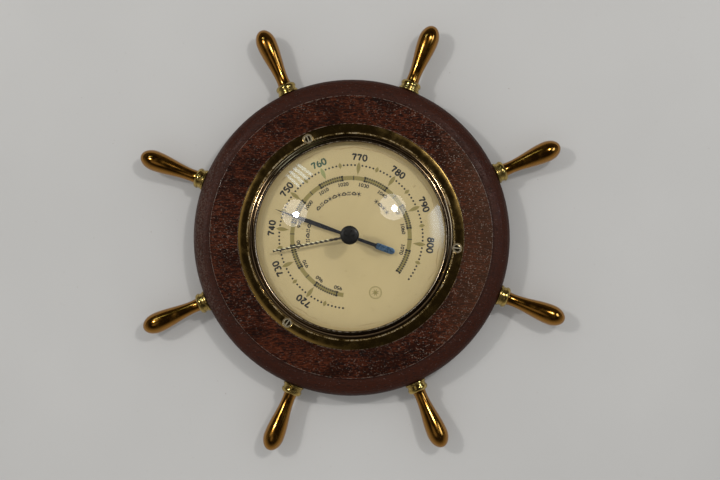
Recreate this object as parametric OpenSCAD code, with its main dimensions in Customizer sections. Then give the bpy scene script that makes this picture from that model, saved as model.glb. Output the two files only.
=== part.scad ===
// Wall barometer in the form of a ship's wheel.
// The pieces are drawn in the dial's own frame: x to the right, y up to the top handle,
// z out of the dial, with z = 0 at the wall. hung() then stands that frame against a wall,
// with the origin in the hanging hole at the back.

/* [Wooden wheel] */
// Radius of the wooden ring at its widest
wheel_r = 80; // [77:0.5:84]
// Thickness of the wheel from the wall to its face
wheel_t = 22; // [22:0.5:26]
// Radius of the veneered face
face_r = 71; // [68:0.5:73]
// Thickness of the face veneer
veneer_t = 0.8; // [0.6:0.1:1.2]
// Drop from the face to where the rim is widest
shoulder_drop = 8; // [6:0.5:9]
// Small step at the edge of the veneer
ridge_step = 0.7; // [0.4:0.1:1.2]
// Rounding of the rim's back edge
back_round = 1.5; // [0.5:0.5:3]

/* [Handles] */
// Number of handles round the wheel
handle_count = 8; // [8]
// Length of a handle beyond its ferrule
handle_len = 30.5; // [26:0.5:36]
// Radius of a handle at its neck
neck_r = 3.1; // [2.8:0.1:3.4]
// Radius of a handle at its belly
belly_r = 5.2; // [4.4:0.1:5.8]
// Share of the handle's length at which the belly lies
belly_at = 0.78; // [0.7:0.01:0.85]
// Length of a ferrule
ferrule_len = 5; // [4:0.5:6]
// Radius of a ferrule
ferrule_r = 5.3; // [5:0.1:5.8]
// Radius of the stud that holds a handle in the wheel
stud_r = 2; // [1.6:0.1:2.4]
// Length of that stud inside the wood
stud_len = 12; // [9:1:15]

/* [Bezel] */
// Width of the bezel's flat flange outside its cove
flange_w = 5.3; // [5:0.1:8]
// Height of the flange above the wheel's face
flange_h = 1.2; // [1:0.1:1.5]
// Distance of the bezel's opening inside the wall of the case
opening_inset = 1.5; // [1.4:0.1:2]
// Width of the cove and lip between the opening and the flange
cove_w = 3.7; // [3.6:0.1:4.5]
// Height of the bezel's lip above the wheel's face
lip_h = 4.3; // [4.1:0.1:5]
// Radius of the rounded top of the lip
lip_round = 0.75; // [0.7:0.05:0.8]
// Distance of the bezel screws from the bezel's edge
bezel_screw_in = 3.1; // [2.8:0.1:3.2]
// Number of bezel screws
bezel_screw_count = 3; // [3]
// Radius of a bezel screw's head
bezel_head_r = 1.9; // [1.6:0.1:2.1]
// Length of a bezel screw
bezel_screw_len = 9; // [7:1:12]

/* [Glass] */
// Width of the glass that the bezel's lip covers
glass_lap = 0.8; // [0.6:0.1:0.9]
// Radius of curvature of the domed glass
dome_r = 120; // [112:2:150]
// Thickness of the glass
glass_t = 1.6; // [1.2:0.1:2]
// Radius of the hole in the middle of the glass
glass_hole_r = 2.6; // [2.4:0.1:3]
// Radius of the wire of the ring behind the glass
wire_r = 0.4; // [0.3:0.05:0.4]

/* [Knob and set hand] */
// Radius of the knob
knob_r = 4.6; // [4.2:0.1:5.5]
// Height of the knob
knob_h = 6; // [5:0.5:8]
// Radius of the knob's spindle
spindle_r = 1.25; // [1:0.05:1.4]
// Height of the set hand above the dial
set_hand_lift = 4.6; // [4.4:0.1:5]
// Distance of the set hand's tip from the dial's edge
set_hand_in = 8.8; // [8.6:0.2:14]
// Width of the set hand at its root
set_hand_w = 1.5; // [1:0.1:2]
// Angle that the set hand is turned to, counter-clockwise from the right
set_angle = 167.1; // [-60:0.1:240]

/* [Dial and pressure hand] */
// Gap between the dial plate and the wall of the case
dial_gap = 0.6; // [0.3:0.1:1]
// Thickness of the dial plate
dial_t = 0.5; // [0.4:0.1:0.8]
// Depth of the dial's face below the wheel's face
dial_below_face = 2.1; // [1.6:0.1:2.2]
// Angle of the pressure hand at rest, counter-clockwise from the right
hand_angle = 136.5; // [20:0.5:160]
// Height of the pressure hand above the dial
hand_lift = 2.6; // [2.2:0.1:2.8]
// Thickness of the pressure hand
hand_t = 0.35; // [0.3:0.05:0.5]
// Distance of the pressure hand's tip from the dial's edge
hand_in = 8.6; // [8.4:0.2:14]
// Length of the pressure hand's tail
tail_len = 23.2; // [18:0.2:26]
// Width of the paddle on the tail
paddle_w = 3; // [2:0.1:4]

/* [Case] */
// Outer radius of the case
pot_r = 49.6; // [49.6:0.1:50]
// Thickness of the case's sheet
pot_t = 0.6; // [0.5:0.1:0.6]
// Width of the lip that hangs the case in the wheel
pot_lip = 1.4; // [1:0.1:1.4]
// Distance of the case's back from the wall
pot_back = 1.4; // [1.3:0.1:1.6]
// Radius of the hole for the adjusting screw in the case
adjust_hole_r = 3.6; // [3:0.1:4]

/* [Movement plates] */
// Radius of the base plate
base_r = 34; // [33:0.5:38]
// Thickness of the base plate
base_t = 1.2; // [1:0.1:1.4]
// Radius of the circle of screws that hold the base plate
base_screw_at = 28; // [27:0.5:30]
// Thickness of the two bearing plates
plate_t = 0.8; // [0.6:0.1:1]
// Free height between the two bearing plates
plate_gap = 2.9; // [2.8:0.1:3.2]
// Distance of a cage pillar from the centre
pillar_at = 21; // [20:0.5:23]
// Radius of a cage pillar's thick lower part
pillar_r = 2.2; // [1.8:0.1:2.6]
// Distance of a dial pillar from the centre
dial_pillar_at = 30; // [29:0.5:31]
// Radius of a dial pillar
dial_pillar_r = 1.6; // [1.2:0.1:2]

/* [Capsule and main spring] */
// Radius of the pressure capsule
capsule_r = 17; // [15:0.5:18]
// Height of the pressure capsule
capsule_h = 5.2; // [5:0.1:5.4]
// Thickness of the capsule's sheet
capsule_t = 0.3; // [0.2:0.05:0.4]
// Height of the capsule's foot
foot_h = 1; // [0.8:0.1:1.2]
// Distance of the main spring's bridge from the centre
bridge_at = 23.5; // [23:0.5:25]
// Width of the bridge, spring and clamp across the movement
bridge_w = 12; // [10:1:14]
// Length of the bridge along the movement
bridge_len = 7; // [6:0.5:8]
// Thickness of the main spring
spring_t = 0.6; // [0.5:0.1:0.8]

/* [Lever train] */
// Thickness of the main lever
lever_t = 0.8; // [0.6:0.1:1]
// Width of the main lever
lever_w = 6; // [5:0.5:8]
// Distance of the rocking shaft from the centre
rocker_at = 26.2; // [25.5:0.1:27]
// Height of the rocking shaft above the base plate
rocker_h = 4.4; // [4.2:0.1:4.6]
// Radius of the rocking shaft
rocker_r = 0.8; // [0.7:0.05:1]
// Length of the short arm that the link drives
short_arm = 1.8; // [1.7:0.1:2.2]
// Length of the arm that pulls the chain
chain_arm = 7.2; // [7:0.1:7.4]
// Half the length of the rocking shaft
rocker_half = 8; // [7:0.5:10]
// Radius of the chain's drum on the pointer arbor
drum_r = 0.8; // [0.8:0.05:0.9]
// Thickness of the chain
chain_t = 0.2; // [0.2:0.05:0.25]

/* [Hanger and adjusting screw] */
// Distance of the hanging hole from the edge of the ring
hang_in = 14; // [13:0.5:16]
// Radius of the hanging hole
hang_hole_r = 3.2; // [2.8:0.1:3.6]
// Thickness of the hanger plate
hang_t = 1.2; // [1:0.1:1.6]
// Length of the hanger plate across the wheel
hang_len = 34; // [32:1:40]
// Height of the hanger plate
hang_w = 16; // [15:0.5:16]
// Length of the pocket behind the hanger plate
pocket_len = 20; // [16:1:22]
// Height of that pocket
pocket_w = 12; // [11:0.5:13]
// Depth of that pocket
pocket_depth = 6; // [5:0.5:6]
// Radius of the adjusting screw
adjust_r = 1.5; // [1.2:0.1:1.8]

/* [Hidden] */
$fn = 72;

// Clearances: a running fit, a free fit, and the rest gap between parts that move apart
run = 0.05;
free = 0.15;
rest_gap = 0.3;
// Overlap that lets one cut run clean through a face
cut = 1;

// Colours
mahogany = "#5a2a1c";
dark_wood = "#3f241c";
lacquered_brass = "#b5781f";
pale_brass = "#b8a25a";
dark_brass = "#6f5a2a";
sheet_brass = "#b08d45";
steel = "#8d9196";
blued_steel = "#1f2a38";
black_plastic = "#161514";
cream = "#d2c08c";
clear = [0.85, 0.9, 0.9, 0.35];

// Height of the hanging hole above the centre
hang_at = wheel_r - hang_in;

// Levels of the case and the movement, from the wall outwards
floor_z = pot_back + pot_t;
base_z = floor_z + base_t;
capsule_z = base_z + foot_h;
capsule_top = capsule_z + capsule_h;
spring_rise = 1;
spring_z = capsule_top + spring_rise;
lever_z = spring_z + spring_t;
post_head_t = 0.5;
lever_top = lever_z + lever_t;
swing_room = 0.6;
lower_plate_z = lever_top + post_head_t + swing_room;
upper_plate_z = lower_plate_z + plate_t + plate_gap;
cage_top = upper_plate_z + plate_t;

// Radii that fit the dial, the glass and the bezel to the case
pot_inner_r = pot_r - pot_t;
dial_r = pot_inner_r - dial_gap;
hand_len = dial_r - hand_in;
set_hand_len = dial_r - set_hand_in;
opening_r = pot_inner_r - opening_inset;
glass_r = opening_r + glass_lap;
cove_foot_r = opening_r + cove_w;
bezel_r = cove_foot_r + flange_w;
bezel_screw_at = bezel_r - bezel_screw_in;

// Levels of the dial, the hands and the bezel
dial_z = wheel_t - dial_below_face;
dial_back_z = dial_z - dial_t;
hand_z = dial_z + hand_lift;
set_hand_z = dial_z + set_hand_lift;
set_hand_t = 0.7;
lip_wall = 0.6;
lip_inside_z = wheel_t + lip_h - lip_round - lip_wall;

// Turn of the rocking shaft, which stands upright when the pressure hand points up
drum_line_r = drum_r + chain_t / 2 + run / 2;
train_ratio = drum_line_r / chain_arm;
rocker_tilt = (hand_angle - 90) * train_ratio;

// Places of the lever train, as x and z
rocker_z = base_z + rocker_h;
chain_end_x = rocker_at + chain_arm * sin(rocker_tilt);
chain_z = rocker_z + chain_arm * cos(rocker_tilt);
link_x = rocker_at - short_arm;
link_low_x = rocker_at - short_arm * cos(rocker_tilt);
link_low_z = rocker_z + short_arm * sin(rocker_tilt);
ear_drop = 1.1;
link_top_z = lever_z - ear_drop;
link_pin_r = 0.35;
link_t = 0.7;
link_y = -0.4;
arm_y = link_y + link_t + 0.1;
arm_t = 0.6;
link_slack = 0.15;

// Height of the glass, which is a spherical shell about dome_centre_z
dome_centre_z = lip_inside_z - run - sqrt(dome_r * dome_r - opening_r * opening_r);
function dome_z(r, t = 0) = dome_centre_z + sqrt(pow(dome_r - t, 2) - r * r);

// The knob, its bush and the spindle
bush_wall = 1.2;
bush_flange_r = glass_hole_r + 1;
bush_flange_t = 0.5;
nut_r = glass_hole_r + 1.2;
nut_t = 0.9;
bush_z = dome_z(glass_hole_r);
nut_z = dome_z(nut_r, glass_t);
knob_z = bush_z + bush_flange_t + rest_gap;
washer_t = 0.3;
washer_z = nut_z - nut_t - rest_gap / 2 - washer_t;
shoulder_t = 0.8;
shoulder_z = washer_z - shoulder_t;

// Stands the dial frame against the wall, with the origin in the hanging hole
module hung() {
    translate([0, 0, -hang_at]) rotate([90, 0, 0]) children();
}

// A round tube from z = low to z = high
module tube(outer, inner, low, high) {
    translate([0, 0, low]) difference() {
        cylinder(r = outer, h = high - low);
        translate([0, 0, -cut]) cylinder(r = inner, h = high - low + 2 * cut);
    }
}

// A round rod from z = low to z = high
module rod(r, low, high) {
    translate([0, 0, low]) cylinder(r = r, h = high - low);
}

// Copies on a circle, the first at the given angle
module round_copies(count, radius, first = 90) {
    for (i = [0:count - 1])
        rotate([0, 0, first + i * 360 / count]) translate([radius, 0, 0]) children();
}

// A pin along y from y = low to y = high, at x and z
module cross_pin(x, z, r, low, high) {
    translate([x, low, z]) rotate([-90, 0, 0]) cylinder(r = r, h = high - low);
}

// A flat bar in the x-z plane between two points, w wide, from y = low to y = high
module flat_bar(x0, z0, x1, z1, w, low, high) {
    length = norm([x1 - x0, z1 - z0]);
    translate([x0, low, z0]) rotate([0, -atan2(z1 - z0, x1 - x0), 0])
        translate([0, 0, -w / 2]) cube([length, high - low, w]);
}

// A slotted screw head and shank, head from z = low and shank away from it
module slotted_screw(head_r, head_t, shank_r, shank_len, slot_w = 0.5, slot_d = 0.35) {
    difference() {
        union() {
            cylinder(r = head_r, h = head_t);
            translate([0, 0, head_t - run]) cylinder(r = shank_r, h = shank_len + run);
        }
        translate([-head_r - cut, -slot_w / 2, -cut])
            cube([2 * (head_r + cut), slot_w, slot_d + cut]);
    }
}

// Points of an arc, from angle a0 to angle a1
function arc(cx, cz, rx, rz, a0, a1, steps) =
    [for (i = [0:steps]) let (a = a0 + (a1 - a0) * i / steps) [cx + rx * cos(a), cz + rz * sin(a)]];

// Wooden wheel

wood_top = wheel_t - veneer_t;
bore_gap = 0.4;
bore_r = pot_r + bore_gap;
pot_lip_r = pot_r + pot_lip;
handle_z = wheel_t / 2;
wood_screw_r = 1.1;
hang_screw_len = 8;
hang_screw_in = 4;
hang_screw_at = hang_len / 2 - hang_screw_in;
hang_rise = 1.5;

// A block round the hanging hole, set a little higher so that a nail's head has room to rise
module hanger_block(length, height, low, high) {
    translate([-length / 2, hang_at + hang_rise - height / 2, low])
        cube([length, height, high - low]);
}

module wheel_ring() {
    color(dark_wood) hung() difference() {
        rotate_extrude() polygon(concat(
            [[bore_r, 0]],
            arc(wheel_r - back_round, back_round, back_round, back_round, -90, 0, 4),
            arc(face_r, wheel_t - shoulder_drop, wheel_r - face_r,
                shoulder_drop - veneer_t - ridge_step, 0, 90, 8),
            [[face_r, wood_top], [bore_r, wood_top]]
        ));
        for (n = [1:handle_count]) at_handle(n) translate([0, 0, wheel_r - stud_len - cut])
            cylinder(r = stud_r + run, h = stud_len + 2 * cut);
        round_copies(bezel_screw_count, bezel_screw_at)
            rod(wood_screw_r + run, bezel_screw_low - cut, wheel_t + cut);
        hanger_block(hang_len + 2 * run, hang_w + 2 * run, -cut, hang_t);
        hanger_block(pocket_len, pocket_w, 0, hang_t + pocket_depth);
        for (side = [-1, 1]) translate([side * hang_screw_at, hang_at, 0])
            rod(wood_screw_r + run, -cut, hang_screw_len + cut);
    }
}

module face_veneer() {
    color(mahogany) hung() difference() {
        tube(face_r, pot_lip_r + free, wood_top, wheel_t);
        round_copies(bezel_screw_count, bezel_screw_at)
            rod(wood_screw_r + run, wood_top - cut, wheel_t + cut);
    }
}

// Handles and ferrules

// Places what is drawn along z so that it points out of the rim, the first at the top
module at_handle(n) {
    translate([0, 0, handle_z]) rotate([0, 0, 90 + (n - 1) * 360 / handle_count])
        rotate([0, 90, 0]) children();
}

neck_flare = 0.35;
flare_len = 1.2;
swell = 1.25;
function belly_share(s) = pow((1 - cos(180 * s)) / 2, swell);
function handle_radius(z) =
    neck_r + (belly_r - neck_r) * belly_share(z / (handle_len * belly_at)) + neck_flare * exp(-z / flare_len);

module handle(n) {
    root_z = wheel_r + ferrule_len;
    belly_z = handle_len * belly_at;
    body_steps = 12;
    color(lacquered_brass) hung() at_handle(n) {
        rod(stud_r, wheel_r - stud_len, root_z + run);
        translate([0, 0, root_z]) rotate_extrude() polygon(concat(
            [[0, 0]],
            [for (i = [0:body_steps - 1]) let (z = belly_z * i / body_steps) [handle_radius(z), z]],
            [for (p = arc(0, belly_z, belly_r, handle_len - belly_z, 0, 90, 7)) [max(p[0], 0), p[1]]]
        ));
    }
}

module ferrule(n) {
    rim_len = 0.9;
    rim_edge = 0.15;
    waist_drop = 0.5;
    waist_edge = 0.3;
    bead_len = 1.8;
    bead_r = ferrule_r - 0.1;
    shoulder_end_r = neck_r + neck_flare + 0.2;
    color(pale_brass) hung() at_handle(n) translate([0, 0, wheel_r]) difference() {
        rotate_extrude() polygon(concat(
            [[0, 0], [ferrule_r - rim_edge, 0], [ferrule_r, rim_edge], [ferrule_r, rim_len]],
            [[ferrule_r - waist_drop, rim_len + waist_edge]],
            [[ferrule_r - waist_drop, ferrule_len - bead_len - waist_edge]],
            arc(shoulder_end_r, ferrule_len - bead_len, bead_r - shoulder_end_r, bead_len, 0, 90, 6),
            [[0, ferrule_len]]
        ));
        rod(stud_r + run, -cut, ferrule_len + cut);
    }
}

// Bezel

bezel_screw_low = wheel_t + flange_h - bezel_screw_len;
countersink_r = bezel_head_r + 0.5;
countersink_z = 0.25;
countersink_slope = (countersink_r - wood_screw_r - run) / (flange_h - countersink_z);
rabbet_r = glass_r + free;

module bezel() {
    lip_r = opening_r + lip_round;
    cove_top_r = opening_r + 2 * lip_round;
    cove_top_z = lip_h - lip_round;
    edge_round = 0.5;
    bead_w = 0.4;
    bead_h = 0.3;
    color(dark_brass) hung() difference() {
        translate([0, 0, wheel_t]) rotate_extrude() polygon(concat(
            [[rabbet_r, 0], [bezel_r, 0]],
            arc(bezel_r - edge_round, flange_h - edge_round, edge_round, edge_round, 0, 90, 4),
            [[cove_foot_r + bead_w, flange_h], [cove_foot_r + bead_w * 0.7, flange_h + bead_h]],
            [[cove_foot_r + bead_w * 0.1, flange_h + bead_h]],
            arc(cove_foot_r, cove_top_z, cove_foot_r - cove_top_r, cove_top_z - flange_h, -90, -180, 6),
            arc(lip_r, cove_top_z, lip_round, lip_round, 15, 180, 9),
            [[opening_r, lip_inside_z - wheel_t], [rabbet_r, lip_inside_z - wheel_t]]
        ));
        round_copies(bezel_screw_count, bezel_screw_at) {
            rod(wood_screw_r + run, wheel_t - cut, wheel_t + flange_h + cut);
            translate([0, 0, wheel_t + countersink_z])
                cylinder(r1 = wood_screw_r + run, r2 = countersink_r, h = flange_h - countersink_z);
            rod(countersink_r, wheel_t + flange_h - run / 5, wheel_t + lip_h + cut);
        }
    }
}

module bezel_screws() {
    cone_z = wheel_t + countersink_z + run;
    rim_z = cone_z + (bezel_head_r - wood_screw_r) / countersink_slope;
    rim_t = 0.15;
    crown_t = 0.2;
    slot_w = 0.6;
    slot_d = 0.4;
    color(pale_brass) hung() round_copies(bezel_screw_count, bezel_screw_at) difference() {
        rotate_extrude() polygon(concat(
            [[0, bezel_screw_low], [wood_screw_r, bezel_screw_low], [wood_screw_r, cone_z]],
            [[bezel_head_r, rim_z]],
            [for (p = arc(0, rim_z + rim_t, bezel_head_r, crown_t, 0, 90, 4)) [max(p[0], 0), p[1]]]
        ));
        translate([-bezel_head_r - cut, -slot_w / 2, rim_z + rim_t + crown_t - slot_d])
            cube([2 * (bezel_head_r + cut), slot_w, slot_d + cut]);
    }
}

// Glass and its ring

module glass_dome() {
    color(clear) hung() difference() {
        intersection() {
            translate([0, 0, dome_centre_z]) sphere(r = dome_r);
            rod(glass_r, wheel_t, wheel_t + dome_r);
        }
        translate([0, 0, dome_centre_z]) sphere(r = dome_r - glass_t);
        rod(glass_hole_r, wheel_t, wheel_t + dome_r);
    }
}

module glass_ring() {
    line_r = rabbet_r - run - wire_r;
    line_z = dome_centre_z + sqrt(pow(dome_r - glass_t - wire_r - run, 2) - line_r * line_r);
    color(sheet_brass) hung() translate([0, 0, line_z]) rotate_extrude()
        translate([line_r, 0]) circle(r = wire_r, $fn = 24);
}

module glass_bush() {
    color(sheet_brass) hung() difference() {
        union() {
            rod(glass_hole_r - run, nut_z - nut_t, bush_z + run);
            rod(bush_flange_r, bush_z, bush_z + bush_flange_t);
        }
        rod(spindle_r + run, nut_z - nut_t - cut, bush_z + bush_flange_t + cut);
    }
}

module bush_nut() {
    color(sheet_brass) hung() difference() {
        translate([0, 0, nut_z - nut_t]) cylinder(r = nut_r, h = nut_t, $fn = 6);
        rod(glass_hole_r, nut_z - nut_t - cut, nut_z + cut);
    }
}

// Knob, spindle and set hand

module knob() {
    crown = 0.5;
    chamfer = 0.4;
    bore_depth = knob_h * 0.6;
    color(black_plastic) hung() difference() {
        translate([0, 0, knob_z]) rotate_extrude() polygon(concat(
            [[0, 0], [knob_r - chamfer, 0], [knob_r, chamfer], [knob_r, knob_h - crown - chamfer]],
            [for (p = arc(0, knob_h - crown, knob_r - chamfer, crown, 0, 90, 5)) [max(p[0], 0), p[1]]]
        ));
        rod(spindle_r + run, knob_z - cut, knob_z + bore_depth);
    }
}

module knob_spindle() {
    collar_r = spindle_r + 1;
    color(sheet_brass) hung() {
        rod(spindle_r, set_hand_z - rest_gap, knob_z + knob_h * 0.6 - run);
        rod(collar_r, shoulder_z, shoulder_z + shoulder_t);
    }
}

module spring_washer() {
    color(steel) hung() tube(spindle_r + 1.4, spindle_r + run, washer_z, washer_z + washer_t);
}

module set_hand() {
    hub_r = spindle_r + 1;
    tip_w = 0.5;
    tip_drop = 1;
    color(lacquered_brass) hung() rotate([0, 0, set_angle]) difference() {
        union() {
            rod(hub_r, set_hand_z, set_hand_z + set_hand_t);
            translate([0, 0, set_hand_z]) linear_extrude(height = set_hand_t) polygon([
                [0, -set_hand_w / 2], [set_hand_len, -tip_w / 2],
                [set_hand_len, tip_w / 2], [0, set_hand_w / 2]
            ]);
            translate([set_hand_len - tip_w, -tip_w / 2, set_hand_z - tip_drop])
                cube([tip_w, tip_w, tip_drop + set_hand_t]);
        }
        rod(spindle_r + run, set_hand_z - cut, set_hand_z + set_hand_t + cut);
    }
}

// Pressure hand, its collet and the arbor

arbor_r = 0.7;
pivot_r = 0.4;
collet_r = 1.6;
collet_h = 1.4;

module pressure_hand() {
    hub_r = 2.2;
    root_w = 0.8;
    belly_w = 1.5;
    belly_share_at = 0.6;
    rest_w = 1;
    paddle_start = tail_len * 0.62;
    color(blued_steel) hung() rotate([0, 0, hand_angle]) translate([0, 0, hand_z]) difference() {
        linear_extrude(height = hand_t) union() {
            circle(r = hub_r);
            polygon([
                [0, -root_w / 2], [hand_len * belly_share_at, -belly_w / 2], [hand_len, 0],
                [hand_len * belly_share_at, belly_w / 2], [0, root_w / 2]
            ]);
            translate([-paddle_start - rest_w, -rest_w / 2]) square([paddle_start + rest_w, rest_w]);
            translate([-tail_len + paddle_w / 2, -paddle_w / 2])
                square([tail_len - paddle_start - paddle_w / 2, paddle_w]);
            translate([-tail_len + paddle_w / 2, 0]) circle(r = paddle_w / 2);
        }
        rod(collet_r - 0.4, -cut, hand_t + cut);
    }
}

module hand_collet() {
    color(sheet_brass) hung() translate([0, 0, hand_z]) difference() {
        union() {
            rod(collet_r - 0.4 - run / 5, 0, hand_t + run);
            rod(collet_r, -collet_h, 0);
            rod(collet_r, hand_t, hand_t + 0.35);
        }
        rod(arbor_r + run / 5, -collet_h - cut, hand_t + 0.35 + cut);
    }
}

module pointer_arbor() {
    drum_half = 0.55;
    rim_t = 0.2;
    rim_r = drum_r + chain_t + 0.25;
    color(steel) hung() {
        rod(pivot_r, lower_plate_z + run, lower_plate_z + plate_t + rest_gap);
        rod(arbor_r, lower_plate_z + plate_t + rest_gap, hand_z + hand_t + 0.35);
        rod(hair_start_r - hair_t, hair_z - 0.1, hair_z + hair_h + 0.1);
        rod(drum_r, chain_z - drum_half, chain_z + drum_half);
        for (side = [-1, 1])
            rod(rim_r, chain_z + side * drum_half - rim_t / 2, chain_z + side * drum_half + rim_t / 2);
    }
}

// Dial

module dial_plate() {
    hole_r = arbor_r + 0.8;
    color(cream) hung() tube(dial_r, hole_r, dial_back_z, dial_z);
}

module dial_pillars() {
    color(sheet_brass) hung() round_copies(3, dial_pillar_at, 95)
        rod(dial_pillar_r, base_z, dial_back_z);
}

// Case

base_screw_r = 1.2;
base_head_r = 2.4;
base_head_t = 1;

module at_base_screws() {
    round_copies(3, base_screw_at, 35) children();
}

module case_pot() {
    color(sheet_brass) hung() difference() {
        union() {
            rod(pot_r, pot_back, wood_top + pot_t);
            rod(pot_lip_r, wood_top, wood_top + pot_t);
        }
        rod(pot_inner_r, floor_z, wheel_t + cut);
        at_base_screws() rod(base_screw_r + free, pot_back - cut, floor_z + cut);
        translate([-bridge_at, 0, 0]) rod(adjust_hole_r, pot_back - cut, floor_z + cut);
    }
}

// Movement plates

foot_stud_r = 1.5;

module base_plate() {
    color(sheet_brass) hung() difference() {
        rod(base_r, floor_z, base_z);
        at_base_screws() rod(base_screw_r + run, floor_z - cut, base_z + cut);
        translate([-bridge_at, 0, 0]) rod(adjust_r + run, floor_z - cut, base_z + cut);
        rod(foot_stud_r + run, floor_z - cut, base_z + cut);
        at_frame_screws() rod(frame_screw_r + run, floor_z - cut, base_z + cut);
    }
}

module movement_screws() {
    color(pale_brass) hung() at_base_screws() translate([0, 0, pot_back - base_head_t])
        slotted_screw(base_head_r, base_head_t, base_screw_r, pot_t + base_t + rest_gap);
}

cage_end = 0.8;
cage_len = 2 * (pillar_at + pillar_r + cage_end);
cage_w = 10;
pillar_neck_r = 1.4;
cage_screw_r = 0.8;
small_head_r = 1.6;
small_head_t = 0.8;

module cage_plate(low, bore) {
    color(sheet_brass) hung() difference() {
        translate([-cage_w / 2, -cage_len / 2, low]) cube([cage_w, cage_len, plate_t]);
        rod(bore, low - cut, low + plate_t + cut);
        children();
    }
}

module lower_bearing_plate() {
    cage_plate(lower_plate_z, pivot_r + run) round_copies(2, pillar_at)
        rod(pillar_neck_r + run, lower_plate_z - cut, lower_plate_z + plate_t + cut);
}

module upper_bearing_plate() {
    cage_plate(upper_plate_z, arbor_r + run) {
        round_copies(2, pillar_at) rod(cage_screw_r + run, upper_plate_z - cut, cage_top + cut);
        translate([0, stud_at, 0]) rod(stud_pin_r + run, upper_plate_z - cut, cage_top + cut);
    }
}

module cage_pillars() {
    color(sheet_brass) hung() round_copies(2, pillar_at) difference() {
        union() {
            rod(pillar_r, base_z, lower_plate_z);
            rod(pillar_neck_r, lower_plate_z - run, upper_plate_z);
        }
        rod(cage_screw_r + run, upper_plate_z - plate_gap, upper_plate_z + cut);
    }
}

module cage_screws() {
    color(steel) hung() round_copies(2, pillar_at) translate([0, 0, cage_top + small_head_t])
        mirror([0, 0, 1])
            slotted_screw(small_head_r, small_head_t, cage_screw_r, plate_t + plate_gap - rest_gap);
}

// Capsule

// Height of a diaphragm above the capsule's seam, with rings pressed into it
capsule_half = capsule_h / 2;
boss_r = 3.4;
seam_w = 1.2;
ring_count = 4;
ring_depth = 0.35;
function diaphragm_z(r) =
    r <= boss_r ? capsule_half :
    let (s = (r - boss_r) / (capsule_r - seam_w - boss_r))
    capsule_half - capsule_t - (capsule_half - 2 * capsule_t) * pow(s, 4)
        - ring_depth * pow(sin(180 * ring_count * s), 2);

module diaphragm() {
    steps = 24;
    foot_r = capsule_r - seam_w;
    outline = [for (i = [0:steps]) let (r = boss_r + (foot_r - boss_r) * i / steps) [r, diaphragm_z(r)]];
    rotate_extrude() polygon(concat(
        [[0, capsule_half]], [[boss_r, capsule_half]],
        [for (i = [1:steps]) outline[i]],
        [[capsule_r, capsule_t], [capsule_r, 0], [foot_r - capsule_t, 0]],
        [for (i = [steps - 1:-1:1]) [outline[i][0] - capsule_t / 2, max(outline[i][1] - capsule_t, 0.01)]],
        [[boss_r, capsule_half - 2 * capsule_t], [0, capsule_half - 2 * capsule_t]]
    ));
}

module capsule_front() {
    color(steel) hung() translate([0, 0, capsule_z + capsule_half]) diaphragm();
}

module capsule_back() {
    color(steel) hung() translate([0, 0, capsule_z + capsule_half]) mirror([0, 0, 1]) diaphragm();
}

module capsule_foot() {
    color(sheet_brass) hung() {
        rod(boss_r, base_z, capsule_z);
        rod(foot_stud_r, floor_z, base_z + run);
    }
}

post_r = 1.5;
post_head_r = 2.4;

module capsule_post() {
    color(steel) hung() {
        rod(post_r, capsule_top, lever_top + run);
        rod(post_head_r, spring_z - post_head_t, spring_z);
        rod(post_head_r, lever_top, lever_top + post_head_t);
    }
}

// Main spring, bridge and clamp

clamp_t = 0.8;
clamp_screw_r = 0.8;
clamp_screw_in = 2.2;
clamp_screw_at = bridge_w / 2 - clamp_screw_in;
clamp_screw_len = 3;
spring_end = 6;
adjust_len = 6;

module bridge_block(low, high) {
    translate([-bridge_at - bridge_len / 2, -bridge_w / 2, low])
        cube([bridge_len, bridge_w, high - low]);
}

module at_clamp_screws() {
    for (side = [-1, 1]) translate([-bridge_at, side * clamp_screw_at, 0]) children();
}

module spring_bridge() {
    color(sheet_brass) hung() difference() {
        bridge_block(base_z, spring_z);
        translate([-bridge_at, 0, 0]) rod(adjust_r + run, base_z - cut, base_z + adjust_len);
        at_clamp_screws() rod(clamp_screw_r + run, spring_z - clamp_screw_len - free, spring_z + cut);
    }
}

module main_spring() {
    color(steel) hung() difference() {
        translate([-bridge_at - bridge_len / 2, -bridge_w / 2 + 0.5, spring_z])
            cube([bridge_at + bridge_len / 2 + spring_end, bridge_w - 1, spring_t]);
        rod(post_r + free, spring_z - cut, lever_z + cut);
        at_clamp_screws() rod(clamp_screw_r + run, spring_z - cut, lever_z + cut);
    }
}

module clamp_plate() {
    color(sheet_brass) hung() difference() {
        bridge_block(lever_z, lever_z + clamp_t);
        at_clamp_screws() rod(clamp_screw_r + run, lever_z - cut, lever_z + clamp_t + cut);
    }
}

module clamp_screws() {
    color(steel) hung() at_clamp_screws() translate([0, 0, lever_z + clamp_t + small_head_t])
        mirror([0, 0, 1]) slotted_screw(small_head_r, small_head_t, clamp_screw_r,
            clamp_t + spring_t + clamp_screw_len - free);
}

// Lever train

lever_start = 4;
neck_x = 18;
ear_w = 1.6;

module main_lever() {
    strip_w = 2;
    color(sheet_brass) hung() difference() {
        union() {
            translate([0, 0, lever_z]) linear_extrude(height = lever_t) polygon([
                [-lever_start, -lever_w / 2], [neck_x - 4, -lever_w / 2], [neck_x, arm_y],
                [link_x + ear_w / 2, arm_y], [link_x + ear_w / 2, arm_y + strip_w],
                [neck_x - 4, lever_w / 2], [-lever_start, lever_w / 2]
            ]);
            translate([link_x - ear_w / 2, arm_y, link_top_z])
                cube([ear_w, arm_t, lever_z - link_top_z + run]);
            cross_pin(link_x, link_top_z, ear_w / 2, arm_y, arm_y + arm_t);
        }
        cross_pin(link_x, link_top_z, link_pin_r + run, arm_y - cut, arm_y + arm_t + cut);
        rod(post_r + run / 5, lever_z - cut, lever_top + cut);
    }
}

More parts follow.
